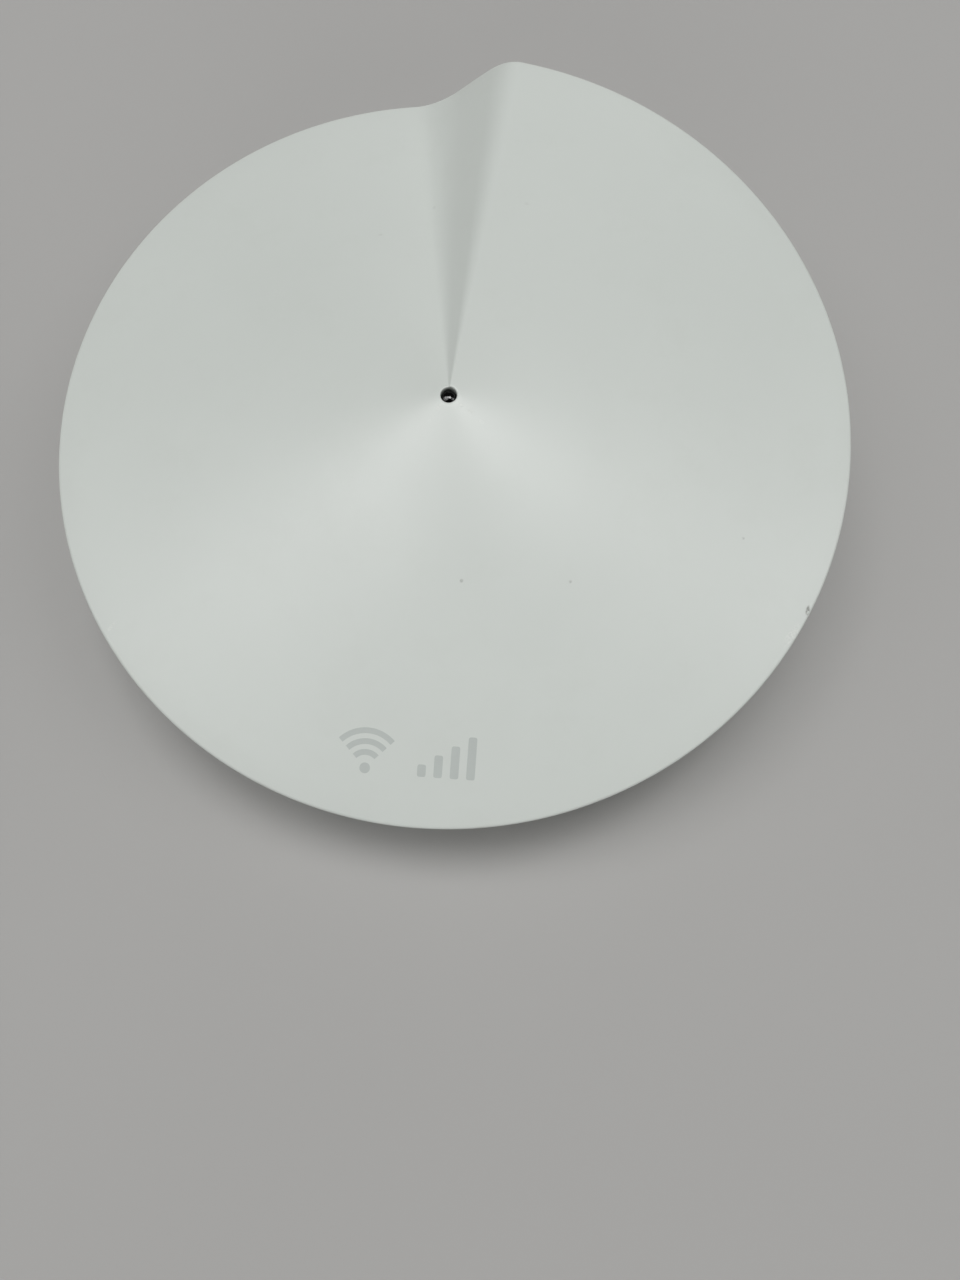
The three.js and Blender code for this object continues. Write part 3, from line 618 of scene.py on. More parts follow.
def cover_material():
    """Satin white plastic: spark-eroded texture, faint drift and haze, specks, wear at the edge, and painted
    highlights round the hole and on the left edge.
    """
    look = Look("cover_plastic", Specular_IOR_Level=0.5, IOR=1.46)
    drift = look.remap(look.noise(34, detail=5), 0.3, 0.7)
    color = look.mix(drift, shade(COVER_WHITE, 0.985), shade(COVER_WHITE, 1.015))
    haze = look.remap(look.noise(9, detail=6, rough=0.7), 0.52, 0.75)
    color = look.mix(look.math("MULTIPLY", haze, 0.08), color, rgb(190, 193, 184))
    radius = look.from_axis()
    edge = look.remap(radius, (COVER_R - 0.6) * MM, COVER_R * MM, smooth=True)
    rub = look.math("MULTIPLY", edge, look.remap(look.noise(5, detail=5), 0.52, 0.7))
    color = look.mix(look.math("MULTIPLY", rub, 0.22), color, rgb(176, 172, 160))
    ragged = look.remap(look.noise(0.6, detail=5, rough=0.7), 0.35, 0.55)
    dark = look.math("MULTIPLY", strongest(look, SPECKS), ragged)
    color = look.mix(dark, color, rgb(92, 89, 82))
    # Painted highlights: lighter streaks round the light hole and on the left edge, with a lighter scuff by
    # the right edge's nick.
    painted_glint_and_scuff = look.math("MULTIPLY", strongest(look, GLINTS_AND_SCUFFS), look.remap(look.noise(0.35, detail=5), 0.42, 0.6))
    color = look.mix(painted_glint_and_scuff, color, rgb(232, 235, 230))
    x, y, size = RUST
    color = look.mix(look.math("MULTIPLY", look.near(x, y, size, 0.8), 0.6), color, rgb(120, 84, 72))
    normal = look.bump(look.noise(0.3, detail=3, rough=0.6), 0.006, 0.5)
    normal = look.bump(look.noise(14, detail=1), 0.02, 0.25, normal)
    relief = look.math("SUBTRACT", painted_glint_and_scuff, dark)
    normal = look.bump(relief, 0.05, 0.5, normal)
    gloss = look.remap(look.noise(12, detail=4), 0.3, 0.7, 0.285, 0.345)
    gloss = look.math("ADD", gloss, look.math("MULTIPLY", dark, 0.3))
    return look.surface(color, gloss, normal)


def base_material():
    """The base's plastic: nearly the same white with a coarser texture, and dust low on its wall."""
    look = Look("base_plastic", Specular_IOR_Level=0.5)
    drift = look.remap(look.noise(28, detail=4), 0.3, 0.7)
    color = look.mix(drift, shade(BASE_WHITE, 0.98), shade(BASE_WHITE, 1.02))
    height = look.node("SeparateXYZ", look.coords, out=2)
    low = look.remap(height, 8 * MM, 1 * MM, smooth=True)
    dust = look.math("MULTIPLY", low, look.remap(look.noise(3, detail=6, rough=0.7), 0.45, 0.75))
    color = look.mix(look.math("MULTIPLY", dust, 0.16), color, rgb(150, 146, 136))
    gloss = look.remap(look.noise(8), 0.3, 0.7, 0.42, 0.54)
    return look.surface(color, gloss, look.bump(look.noise(0.35, detail=3), 0.012, 0.6))


def rubber_material():
    """Matt grey rubber, a little patchy, with specks of lint."""
    look = Look("foot_rubber", Specular_IOR_Level=0.35)
    color = look.mix(look.remap(look.noise(4, detail=5), 0.35, 0.7), rgb(126, 129, 127), rgb(148, 150, 148))
    lint = look.remap(look.noise(0.7, detail=6, rough=0.8), 0.66, 0.72)
    color = look.mix(look.math("MULTIPLY", lint, 0.5), color, rgb(196, 194, 188))
    gloss = look.remap(look.noise(3), 0.3, 0.7, 0.68, 0.88)
    return look.surface(color, gloss, look.bump(look.noise(0.25, detail=4), 0.02, 0.7))


def label_material():
    """Blank film label: pale, with a thin printed border."""
    look = Look("label_film", Specular_IOR_Level=0.5, Coat_Weight=0.2)
    radius = look.from_axis()
    inside = look.remap(radius, 24.35 * MM, 24.25 * MM)
    ring = look.math("MULTIPLY", look.remap(radius, 23.9 * MM, 24.0 * MM), inside)
    paper = look.mix(look.remap(look.noise(6, detail=5), 0.3, 0.7), rgb(214, 216, 213), rgb(222, 224, 221))
    color = look.mix(ring, paper, rgb(120, 124, 126))
    gloss = look.remap(look.noise(5), 0.3, 0.7, 0.4, 0.5)
    return look.surface(color, gloss, look.bump(look.noise(0.8, detail=4), 0.008, 0.5))


def lens_material():
    """Smoked polycarbonate: near black and polished, its gloss a little uneven."""
    look = Look("light_pipe_lens", Specular_IOR_Level=0.5, IOR=1.52)
    color = look.mix(look.noise(1.2), rgb(6, 6, 7), rgb(14, 13, 13))
    gloss = look.remap(look.noise(0.4, detail=5), 0.35, 0.7, 0.04, 0.09)
    return look.surface(color, gloss, look.bump(look.noise(0.9), 0.004, 0.3))


def board_material():
    """Green solder mask over copper: fine tracks, gold vias and a light grain."""
    look = Look("circuit_board", Specular_IOR_Level=0.5, Coat_Weight=0.25)
    brick = look.tree.nodes.new("ShaderNodeTexBrick")
    look.tree.links.new(look.scaled(1 / (2.6 * MM)), brick.inputs["Vector"])
    brick.inputs["Scale"].default_value = 1.0
    brick.inputs["Mortar Size"].default_value = 0.06
    brick.inputs["Color1"].default_value = (0, 0, 0, 1)
    brick.inputs["Color2"].default_value = (0, 0, 0, 1)
    brick.inputs["Mortar"].default_value = (1, 1, 1, 1)
    tracks = look.math("MULTIPLY", brick.outputs["Color"], look.remap(look.noise(9), 0.45, 0.55))
    color = look.mix(tracks, rgb(22, 68, 46), rgb(38, 104, 70))
    vias = look.tree.nodes.new("ShaderNodeTexVoronoi")
    look.tree.links.new(look.scaled(1 / (3.2 * MM)), vias.inputs["Vector"])
    vias.inputs["Scale"].default_value = 1.0
    holes = look.remap(vias.outputs["Distance"], 0.1, 0.08)
    color = look.mix(holes, color, rgb(196, 168, 92))
    height = look.math("ADD", tracks, look.math("MULTIPLY", look.noise(0.5), 0.3))
    gloss = look.remap(look.noise(6), 0.3, 0.7, 0.32, 0.46)
    return look.surface(color, gloss, look.bump(height, 0.03, 0.6))


MATERIALS = {
    "cover_shell": cover_material(),
    "base_shell": base_material(),
    "foot_rubber": rubber_material(),
    "label": label_material(),
    "light_pipe": lens_material(),
    "circuit_board": board_material(),
    "black_plastic": grained("black_plastic", rgb(30, 31, 33), 0.5, 0.3, 0.02, spread=0.2, patch_mm=5),
    "chip_package": grained("chip_epoxy", rgb(38, 39, 42), 0.5, 0.12, 0.01, spread=0.15, patch_mm=4),
    "plated_steel": brushed("plated_steel", rgb(186, 188, 190), 0.3),
    "gold_contact": brushed("gold_contact", rgb(226, 184, 96), 0.24, size_mm=0.3),
    "sink_aluminium": brushed("sink_aluminium", rgb(176, 180, 183), 0.38, stretch=(12, 1, 12)),
    "thermal_pad": grained("thermal_pad", rgb(140, 160, 182), 0.8, 0.5, 0.05, spread=0.1, patch_mm=3),
    "ferrite": grained("ferrite", rgb(74, 74, 77), 0.62, 0.2, 0.03, spread=0.15, patch_mm=2),
    "led_package": grained("led_package", rgb(238, 236, 220), 0.3, 0.3, 0.01, patch_mm=1),
    "antenna_carrier": grained("carrier_plastic", rgb(212, 214, 209), 0.5, 0.3, 0.02, patch_mm=12),
    "coax_jacket": grained("coax_jacket", rgb(52, 54, 60), 0.4, 0.4, 0.01, spread=0.12, patch_mm=4),
}
PRINT = grained("grey_print", rgb(189, 195, 191), 0.5, 0.2, 0.004, spread=0.02, patch_mm=3)


# ---------------------------------------------------------------- outer pieces

def swirl_cover():
    """The cover: a fine shell on the same swirl as the CAD one, with a rolled edge and a soft hole."""
    low = -COVER_WALL
    skirt = low - SKIRT_DEEP
    (hub_in, hub_out), (skirt_in, skirt_out) = HUB_R, SKIRT_R
    section = rounded([
        (HOLE_R, -HOLE_DEEP, 0), (HOLE_R, 0, 0.3), (COVER_R, 0, 0.45), (COVER_R, low, 0.5),
        (skirt_out, low, 0.15), (skirt_out, skirt, 0.3), (skirt_in, skirt, 0.3), (skirt_in, low, 0.3),
        (hub_out, low, 0.4), (hub_out, -HUB_DEEP, 0.2), (hub_in, -HUB_DEEP, 0.2), (hub_in, -HOLE_DEEP, 0),
    ], steps=6)
    flat = [i for i, (_, drop) in enumerate(section) if drop == 0]
    inner, outer = section[flat[0]], section[flat[-1]]
    shares = [(k / COVER_RINGS) ** 1.5 for k in range(1, COVER_RINGS)]
    between = [(inner[0] + (outer[0] - inner[0]) * share, 0.0) for share in shares]
    section = section[: flat[0] + 1] + between + section[flat[-1]:]
    angles = column_angles(COVER_COLUMNS)
    rings = [(radius, cover_height(radius, angles) + drop) for radius, drop in section]
    cover = piece("top_cover_fine", *stacked(rings, closed=True), MATERIALS["cover_shell"],
                  replaces=["top_cover"], slot="cover_shell", sharp=COVER_SHARP)
    posts, holes = [], []
    for degrees in CASE_SCREWS:
        at = at_angle(CASE_RING, degrees)
        top = float(cover_height(CASE_RING + POST_R, degrees * DEG)) - POST_ROOT
        posts.append(round_bar(at, POST_R, POST_LOW, top, 0.4))
        holes.append(round_bar(at, POST_PILOT_R, POST_LOW - 1, POST_LOW + POST_THREAD))
    relief = box_outline(-RELIEF_HALF, RELIEF_HALF, *RELIEF_DEEP)
    combine(cover, "UNION", *posts)
    combine(cover, "DIFFERENCE", *holes, prism(relief, *RELIEF_TALL))
    finish_normals(cover, COVER_SHARP)


def bowl_section(flat, top, steps):
    """Points (radius, share of the wall's height) of a quarter ellipse."""
    return [(flat + (top - flat) * math.sin(t), 1 - math.cos(t)) for t in turns(0, TURN / 4, steps)]


def bowl_rings(floor, section, angles):
    """Rings of a bowl from its floor's height to the wall's top."""
    rise = wall_top(angles) - floor
    return [(radius, floor + share * rise) for radius, share in section]


def base_bowl():
    """The base: a bowl with a rounded lip, cut for the sockets, vents, foot, label and reset pinhole."""
    angles = column_angles(BASE_COLUMNS)
    wall_in = WALL_R - BASE_WALL
    outer = bowl_section(FLAT_R, WALL_R, 30)
    inner = bowl_section(FLAT_R - 1.5, wall_in, 16)[::-1]
    lip = wall_top(angles)
    rings = [(radius, np.full(BASE_COLUMNS, BASE_Z)) for radius in FLAT_RINGS]
    rings += bowl_rings(BASE_Z, outer[:-1], angles)
    rings += [(WALL_R - inset, lip - drop) for inset, drop in LIP_EDGE]
    rings += [(wall_in + LIP_INNER, lip), (wall_in, lip - LIP_INNER)]
    rings += bowl_rings(FLOOR_Z, inner[1:], angles)
    rings += [(radius, np.full(BASE_COLUMNS, FLOOR_Z)) for radius in FLAT_RINGS[::-1]]
    base = piece("base_bowl_fine", *stacked(rings), MATERIALS["base_shell"], replaces=["base_shell"],
                 slot="base_shell", sharp=BASE_SHARP)
    add_port_walls(base)
    combine(base, "UNION", *base_posts())
    combine(base, "DIFFERENCE", *base_cuts(), crossing=True)
    finish_normals(base, BASE_SHARP)


def add_port_walls(base):
    """Joins the alcove's floor, roof and back to the bowl, inside its outer skin."""
    half, low, high = BAY_HALF + BAY_WALL, BAY_LOW - BAY_WALL, BAY_HIGH + BAY_WALL
    block = prism(box_outline(-half, half, low, high, 1.2), BAY_FACE - BAY_WALL, COVER_R, "y")
    angles = column_angles(BAY_FILL_COLUMNS)
    skin = [(0.0, np.full(BAY_FILL_COLUMNS, BASE_Z))]
    skin += bowl_rings(BASE_Z, bowl_section(FLAT_R, WALL_R - BAY_SKIN, 30), angles)
    skin += [(0.0, np.full(BAY_FILL_COLUMNS, BAY_FILL_TOP))]
    walls = loose("port_walls", *block)
    boolean(walls, "INTERSECT", loose("bowl_fill", *stacked(skin)))
    boolean(base, "UNION", walls)


def base_posts():
    """The screw bosses and the board's standoffs, rooted in the base's floor."""
    bars = [(at_angle(CASE_RING, degrees), BOSS_R, BOSS_TOP) for degrees in CASE_SCREWS]
    bars += [(at, STANDOFF_R, BOARD_LOW) for at in BOARD_SCREWS]
    return [round_bar(at, radius, FLOOR_Z - BOSS_ROOT, top, BOSS_EDGE) for at, radius, top in bars]


def base_cuts():
    """Everything that is cut out of the base."""
    tools = [prism(box_outline(-BAY_HALF, BAY_HALF, BAY_LOW, BAY_HIGH, 1.6, 8), BAY_FACE, COVER_R + 3, "y")]
    tools += [prism(jack_outline(x), *BAY_CUT, "y") for x in JACK_XS]
    tools.append(prism(stadium(USB_X, USB_Z, *USB_HOLE), *BAY_CUT, "y"))
    (foot_in, foot_out), foot_top = FOOT_RECESS
    label_out, label_top = LABEL_RECESS
    foot = [(foot_in, 0.0), (foot_out, 0.0), (foot_out, foot_top), (foot_in, foot_top)]
    label = [(0, 0.0), (label_out, 0.0), (label_out, label_top), (0, label_top)]
    tools += [lathe(foot, FOOT_SIDES), lathe(label, LABEL_SIDES)]
    tools.append(lathe(rounded(RESET_HOLE_PROFILE), RESET_SIDES, RESET_AT))
    for degrees in CASE_SCREWS:
        at = at_angle(CASE_RING, degrees)
        tools.append(round_bar(at, BOSS_RECESS_R, 0, BOSS_SEAT))
        tools.append(round_bar(at, BOSS_HOLE_R, FLOOR_Z, BOSS_TOP + 1))
    tools += [round_bar(at, STANDOFF_PILOT_R, FLOOR_Z, BOARD_LOW + 1) for at in BOARD_SCREWS]
    for angle in column_angles(VENT_COUNT) + TURN / 2 / VENT_COUNT:
        if abs(angle - TURN / 4) >= VENT_CLEAR:
            tools.append(turned_part(vent_tool(), angle))
    return tools


def jack_outline(x):
    """A network socket's mouth: a wide window with a narrower latch step below it."""
    return rounded([
        (x - JACK_HALF, JACK_LOW, 0.3), (x - LATCH_HALF, JACK_LOW, 0.2), (x - LATCH_HALF, LATCH_LOW, 0.4),
        (x + LATCH_HALF, LATCH_LOW, 0.4), (x + LATCH_HALF, JACK_LOW, 0.2), (x + JACK_HALF, JACK_LOW, 0.3),
        (x + JACK_HALF, JACK_HIGH, 0.4), (x - JACK_HALF, JACK_HIGH, 0.4),
    ])


def vent_tool():
    """An upright slot with round ends, seen along its radius."""
    lying = stadium(0.0, 0.0, VENT_HIGH - VENT_LOW, VENT_WIDTH, 8)
    middle = (VENT_LOW + VENT_HIGH) / 2
    return prism([(v, middle + u) for u, v in lying], VENT_FROM, VENT_TO, "x")


def underside():
    """The rubber foot, the blank label and the reset button."""
    foot = rounded(FOOT_PROFILE, 4)
    piece("foot_ring_fine", *lathe(foot, FOOT_SIDES), MATERIALS["foot_rubber"], replaces=["foot_ring"],
          slot="foot_rubber")
    label = rounded(LABEL_PROFILE, closed=False)
    piece("rating_plate_fine", *lathe(label, LABEL_SIDES), MATERIALS["label"], replaces=["rating_plate"],
          slot="label")
    button = rounded(BUTTON_PROFILE, closed=False)
    piece("reset_button_fine", *lathe(button, RESET_SIDES, RESET_AT), MATERIALS["black_plastic"],
          body="reset_button", replaces=["reset_button"], slot="black_plastic")


def light_path():
    """The smoked light pipe, its tip domed, in its dark sleeve."""
    spread = math.asin(TIP_R / TIP_DOME_R)
    centre = TIP_EDGE - TIP_DOME_R * math.cos(spread)
    dome = [(TIP_DOME_R * math.sin(t), centre + TIP_DOME_R * math.cos(t)) for t in turns(spread, 0, 16)[1:]]
    pipe = rounded(PIPE_PROFILE, closed=False) + dome
    piece("light_pipe_fine", *lathe(pipe), MATERIALS["light_pipe"], replaces=["light_pipe"],
          slot="light_pipe", sharp=40)
    piece("light_sleeve_fine", *lathe(rounded(SLEEVE_PROFILE), 64), MATERIALS["black_plastic"],
          replaces=["light_sleeve"], slot="black_plastic")


def front_mark():
    """Two plain pictograms printed near the front edge: a wireless fan and four rising bars."""
    x, y = MARK_AT
    low = y - FAN_DROP
    shapes = [[(x + FAN_DOT * math.cos(t), low + FAN_DOT * math.sin(t)) for t in turns(0, TURN, 24)[:-1]]]
    for reach in FAN_ARCS:
        shapes.append(arc_band(x, low, reach - FAN_HALF_LINE, reach + FAN_HALF_LINE, *FAN_SPREAD))
    for k in range(BAR_COUNT):
        left = x + BAR_FROM + BAR_PITCH * k
        top = y + BAR_TOP + BAR_RISE * k
        shapes.append(box_outline(left, left + BAR_WIDTH, y + BAR_FOOT, top, BAR_CORNER))
    piece("front_mark", *merged(*map(printed, shapes)), PRINT, slot="cover_shell", sharp=60)


def arc_band(x, y, inner, outer, start, end, steps=20):
    """The outline of an arc-shaped band, as outer and then inner points."""
    there = [(x + outer * math.cos(t), y + outer * math.sin(t)) for t in turns(start, end, steps)]
    back = [(x + inner * math.cos(t), y + inner * math.sin(t)) for t in turns(end, start, steps)]
    return there + back


def printed(outline):
    """A film of ink of one outline, laid on the cover."""
    count = len(outline)
    verts = []
    for over in INK_LAYER:
        for x, y in outline:
            verts.append((x, y, float(cover_height(math.hypot(x, y), math.atan2(y, x))) + over))
    faces = [(i, (i + 1) % count, count + (i + 1) % count, count + i) for i in range(count)]
    for first in (0, count):
        last = first + count - 1
        faces += [(first + i, first + i + 1, last - 1 - i, last - i) for i in range(count // 2 - 1)]
    return verts, faces


def swept(points, radius, across, sides=12):
    """A closed tube along a flat curve. across is the direction that the curve never turns towards."""
    path = [Vector(p) for p in points]
    across = Vector(across).normalized()
    verts = []
    for i, here in enumerate(path):
        way = (path[min(i + 1, len(path) - 1)] - path[max(i - 1, 0)]).normalized()
        up = way.cross(across)
        for t in turns(0, TURN, sides)[:-1]:
            verts.append(tuple(here + radius * (math.cos(t) * up + math.sin(t) * across)))
    faces = []
    for row in range(len(path) - 1):
        a, b = row * sides, (row + 1) * sides
        faces += [(a + k, a + (k + 1) % sides, b + (k + 1) % sides, b + k) for k in range(sides)]
    faces += [tuple(range(sides)), tuple(range(len(verts) - sides, len(verts)))]
    return verts, faces


def smooth_path(stops, steps=6):
    """Points of a Catmull-Rom curve through some stops."""
    ends = [2 * Vector(stops[0]) - Vector(stops[1]), 2 * Vector(stops[-1]) - Vector(stops[-2])]
    knots = [ends[0]] + [Vector(stop) for stop in stops] + [ends[1]]
    out = []
    for a, b, c, d in zip(knots, knots[1:], knots[2:], knots[3:]):
        for t in (k / steps for k in range(steps)):
            out.append(0.5 * ((2 * b) + (c - a) * t + (2 * a - 5 * b + 4 * c - d) * t ** 2
                              + (3 * b - a - 3 * c + d) * t ** 3))
    return [tuple(p) for p in out + [knots[-2]]]


def network_socket(number, x):
    """The eight gold springs of a network socket and the comb that holds them."""
    springs = []
    for k in range(CONTACT_COUNT):
        at = x + (k - (CONTACT_COUNT - 1) / 2) * CONTACT_PITCH
        stops = [(at, y, z) for y, z in CONTACT_STOPS]
        springs.append(swept(smooth_path(stops), CONTACT_R, (1, 0, 0)))
    name = f"lan_jack_{number}"
    piece(f"{name}_springs", *merged(*springs), MATERIALS["gold_contact"], replaces=[f"{name}_contacts"],
          slot="gold_contact", sharp=60)
    comb = prism(box_outline(x - COMB_HALF, x + COMB_HALF, *COMB_DEEP, 0.15), *COMB_TALL)
    piece(f"{name}_comb", *comb, MATERIALS["black_plastic"], slot="black_plastic")


def power_socket():
    """The USB-C socket's drawn shell, its tongue and the gold pads on both sides of the tongue."""
    outside = prism(stadium(USB_X, USB_Z, *USB_OUTSIDE), USB_BACK, USB_FRONT, "y")
    shell = piece("usb_c_shell_fine", *outside, MATERIALS["plated_steel"], replaces=["usb_c_shell"],
                  slot="plated_steel", sharp=50)
    mouth = prism(stadium(USB_X, USB_Z, *USB_MOUTH), USB_BACK + USB_WALL, USB_FRONT + 1, "y")
    combine(shell, "DIFFERENCE", mouth)
    finish_normals(shell, 50)
    root = prism(stadium(USB_X, USB_Z, *USB_ROOT), *USB_ROOT_DEEP, "y")
    side, thick = TONGUE_HALF, TONGUE_THICK
    flat = box_outline(USB_X - side, USB_X + side, USB_Z - thick, USB_Z + thick, 0.2)
    blade = prism(flat, *TONGUE_DEEP, "y")
    piece("usb_c_tongue_fine", *merged(root, blade), MATERIALS["black_plastic"], replaces=["usb_c_tongue"],
          slot="black_plastic")
    pads = []
    for k in range(PAD_COUNT):
        at = USB_X + (k - (PAD_COUNT - 1) / 2) * PAD_PITCH
        outline = box_outline(at - PAD_HALF, at + PAD_HALF, *PAD_DEEP, 0.05, 3)
        pads.append(prism(outline, USB_Z - thick - PAD_THICK, USB_Z - thick))
        pads.append(prism(outline, USB_Z + thick, USB_Z + thick + PAD_THICK))
    piece("usb_c_pads", *merged(*pads), MATERIALS["gold_contact"], slot="gold_contact")


def sockets():
    for number, x in enumerate(JACK_XS, 1):
        network_socket(number, x)
    power_socket()


def plus_outline(x, y, arm, half):
    """A cross-head recess."""
    corners = [(arm, -half), (arm, half), (half, half), (half, arm), (-half, arm), (-half, half),
               (-arm, half), (-arm, -half), (-half, -half), (-half, -arm), (half, -arm), (half, -half)]
    return [(x + u, y + v) for u, v in corners]


def screw(node, x, y, seat, up, size):
    """A domed cross-head screw with ring grooves for its thread; up is 1 where the head rises, or -1."""
    head, rise, shank, length = size
    root = shank - THREAD_DEEP
    profile = [(0, -length), (TIP_SHARE * shank, -length), (root, -length + SCREW_POINT)]
    for k in range(int((length - THREAD_CLEAR) / THREAD_PITCH)):
        start = -length + THREAD_START + k * THREAD_PITCH
        profile += [(root, start), (shank, start + FLANK_SHARE * THREAD_PITCH)]
    profile += [(root, -SCREW_NECK), (shank, 0), (head, 0), (head, EDGE_SHARE * rise)]
    for t in turns(0, TURN / 4, 8)[1:-1]:
        profile.append((head * math.cos(t), rise * (EDGE_SHARE + (1 - EDGE_SHARE) * math.sin(t))))
    profile.append((0, rise))
    body = lathe([(r, seat + up * z) for r, z in profile], 40, at=(x, y))
    obj = piece(f"{node}_fine", *body, MATERIALS["plated_steel"], replaces=[node], slot="plated_steel")
    depth = sorted((seat + up * RECESS_FLOOR * rise, seat + up * (rise + 1)))
    combine(obj, "DIFFERENCE", prism(plus_outline(x, y, RECESS_ARM * head, RECESS_HALF * head), *depth))
    finish_normals(obj)


def fasteners():
    for number, angle in enumerate(CASE_SCREWS, 1):
        screw(f"base_screw_{number}", *at_angle(CASE_RING, angle), BOSS_SEAT, -1, CASE_SCREW)
    for number, (x, y) in enumerate(BOARD_SCREWS, 1):
        screw(f"board_screw_{number}", x, y, BOARD_TOP, 1, BOARD_SCREW)
    for number, (x, y) in enumerate(SINK_SCREWS, 1):
        screw(f"heat_sink_screw_{number}", x, y, SINK_SEAT, 1, SINK_SCREW)


def board():
    """The main board with a fine edge and drilled holes."""
    corner = math.asin(BOARD_BACK / BOARD_R)
    edge = [at_angle(BOARD_R, t / DEG) for t in turns(math.pi - corner, TURN + corner, 150)]
    obj = piece("main_board_fine", *prism(edge, BOARD_LOW, BOARD_TOP), MATERIALS["circuit_board"],
                replaces=["main_board"], slot="circuit_board")
    holes = [(at_angle(CASE_RING, angle), POST_HOLE_R) for angle in CASE_SCREWS]
    holes += [(at, BOARD_HOLE_R) for at in BOARD_SCREWS] + [(at, SINK_HOLE_R) for at in SINK_SCREWS]
    low, high = BOARD_DRILL
    drills = [lathe([(0, low), (r, low), (r, high), (0, high)], 40, at) for at, r in holes]
    combine(obj, "DIFFERENCE", *drills)
    finish_normals(obj)


def capacitors():
    """Cans with a crimp and a scored top."""
    can = rounded(CAN_PROFILE, 6, closed=False)
    for number, (x, y) in enumerate(CAPACITORS, 1):
        name = f"bulk_capacitor_{number}"
        obj = piece(f"{name}_fine", *lathe(can, 64, (x, y)), MATERIALS["sink_aluminium"],
                    replaces=[name], slot="sink_aluminium")
        score = plus_outline(x, y, *CAN_SCORE)
        combine(obj, "DIFFERENCE", prism(score, CAN_TOP - CAN_SCORE_DEEP, CAN_TOP + 1))
        finish_normals(obj)


def antenna_leads():
    """Coax leads from the antennas down to their board connectors."""
    plug = rounded(PLUG_PROFILE, closed=False)
    for number, angle in enumerate(ANTENNA_ANGLES, 1):
        stops = [(*at_angle(radius, angle), z) for radius, z in LEAD_STOPS]
        across = (-math.sin(angle * DEG), math.cos(angle * DEG), 0)
        name = f"antenna_lead_{number}"
        piece(f"{name}_fine", *swept(smooth_path(stops, 4), LEAD_R, across, 16), MATERIALS["coax_jacket"],
              replaces=[name], slot="coax_jacket")
        piece(f"antenna_plug_{number}", *lathe(plug, 40, at_angle(PLUG_RING, angle)),
              MATERIALS["gold_contact"], slot="gold_contact")


# ---------------------------------------------------------------- camera, floor and light

FOCAL_MM = 27.253
SENSOR_MM = 36
CAMERA_PITCH = 79.14 * DEG
CAMERA_ROLL = 4.12 * DEG
CAMERA_TARGET = (6.86, -27.46, 0)
CAMERA_DISTANCE = 168

# Name, tilt off the vertical, plan angle and angular width in degrees, and strength.
LIGHTS = [
    ("overhead_right", 14, 60, 16, 0.72),
    ("overhead_left", 14, 120, 16, 0.46),
    ("overhead_side", 14, 180, 16, 0.19),
    ("back_left", 26, 156, 16, 0.37),
    ("left_high", 26, 190, 18, 0.13),
    ("left_low", 40, 180, 23, 0.22),
    ("right_high", 26, 12, 18, 0.14),
    ("right_low", 40, 4, 23, 0.26),
    ("front_fill", 72, 270, 40, 0.42),
    ("right_fill", 72, 0, 40, 0.25),
    ("left_fill", 72, 180, 40, 0.08),
    ("back_fill", 72, 90, 40, 0.16),
]
FLOOR_HALF = 4000
FLOOR_THICK = 10
ROOM_COLOR = (0.95, 0.98, 1.0, 1)
ROOM_FILL = 0.02
ROOM_SEEN = 0.42
FLOOR = grained("floor_paint", rgb(176, 175, 173), 0.8, 0.6, 0.02, spread=0.015, patch_mm=120)


def camera():
    """The photograph's view: from above and in front, close, turned a little."""
    data = bpy.data.cameras.new("camera")
    data.sensor_width = SENSOR_MM
    data.lens = FOCAL_MM
    data.clip_start = 0.005
    obj = bpy.data.objects.new("camera", data)
    bpy.context.scene.collection.objects.link(obj)
    back = Vector((0, -math.cos(CAMERA_PITCH), math.sin(CAMERA_PITCH)))
    right = Vector((1, 0, 0))
    up = back.cross(right)
    x_axis = math.cos(CAMERA_ROLL) * right + math.sin(CAMERA_ROLL) * up
    y_axis = -math.sin(CAMERA_ROLL) * right + math.cos(CAMERA_ROLL) * up
    place = Matrix((x_axis, y_axis, back)).transposed().to_4x4()
    place.translation = (Vector(CAMERA_TARGET) + back * CAMERA_DISTANCE) * MM
    obj.matrix_world = place
    bpy.context.scene.camera = obj


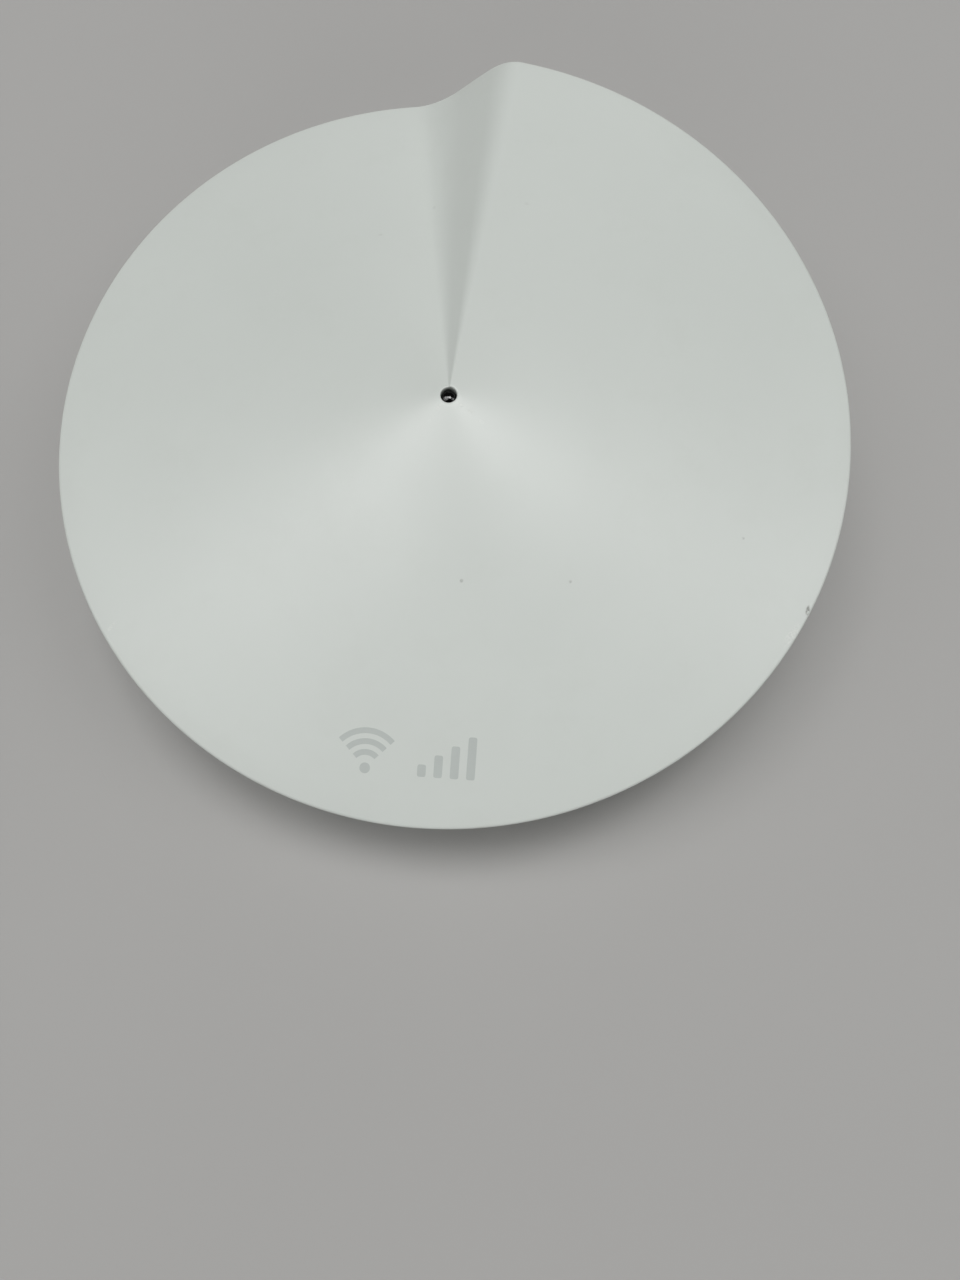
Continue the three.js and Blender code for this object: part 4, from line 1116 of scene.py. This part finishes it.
def soft_box(name, tilt, azimuth, width, power):
    """A distant soft light; its tilt off the vertical, plan angle and angular width are in degrees."""
    data = bpy.data.lights.new(name, "SUN")
    data.energy = power
    data.angle = width * DEG
    obj = bpy.data.objects.new(name, data)
    bpy.context.scene.collection.objects.link(obj)
    t, a = tilt * DEG, azimuth * DEG
    way = Vector((math.sin(t) * math.cos(a), math.sin(t) * math.sin(a), math.cos(t)))
    obj.location = way
    obj.rotation_euler = way.to_track_quat("Z", "Y").to_euler()


def studio():
    """A plain pale floor, soft light mostly from overhead, weaker light from the sides, a pale room."""
    outline = box_outline(-FLOOR_HALF, FLOOR_HALF, -FLOOR_HALF, FLOOR_HALF)
    piece("floor", *prism(outline, -FLOOR_THICK, 0), FLOOR)
    for light in LIGHTS:
        soft_box(*light)
    world = bpy.data.worlds.new("studio")
    world.use_nodes = True
    nodes, links = world.node_tree.nodes, world.node_tree.links
    sky = nodes["Background"]
    sky.inputs["Color"].default_value = ROOM_COLOR
    seen = nodes.new("ShaderNodeLightPath").outputs["Is Camera Ray"]
    strength = nodes.new("ShaderNodeMapRange")
    links.new(seen, strength.inputs["Value"])
    strength.inputs["To Min"].default_value = ROOM_FILL
    strength.inputs["To Max"].default_value = ROOM_SEEN
    links.new(strength.outputs["Result"], sky.inputs["Strength"])
    bpy.context.scene.world = world


# ---------------------------------------------------------------- the rest of the CAD

CARRIED_EDGE = 0.08
CARRIED_SEGMENTS = 2
CARRIED_SHARP = 40


def carried_over():
    """Inner CAD pieces keep their shape and get their slot's material and a small edge radius."""
    slots = {s["node"]: s["material_slot"] for s in frame["record"]["subparts"]}
    for name, obj in frame["nodes"].items():
        if obj.hide_render:
            continue
        obj.data.materials.clear()
        obj.data.materials.append(MATERIALS[slots[name]])
        edge = obj.modifiers.new("edge", "BEVEL")
        edge.width = CARRIED_EDGE * MM
        edge.segments = CARRIED_SEGMENTS
        edge.limit_method = "ANGLE"
        edge.angle_limit = CARRIED_SHARP * DEG


camera()
studio()
swirl_cover()
base_bowl()
underside()
light_path()
front_mark()
sockets()
fasteners()
board()
capacitors()
antenna_leads()
carried_over()
bpy.context.scene.view_settings.view_transform = "Standard"
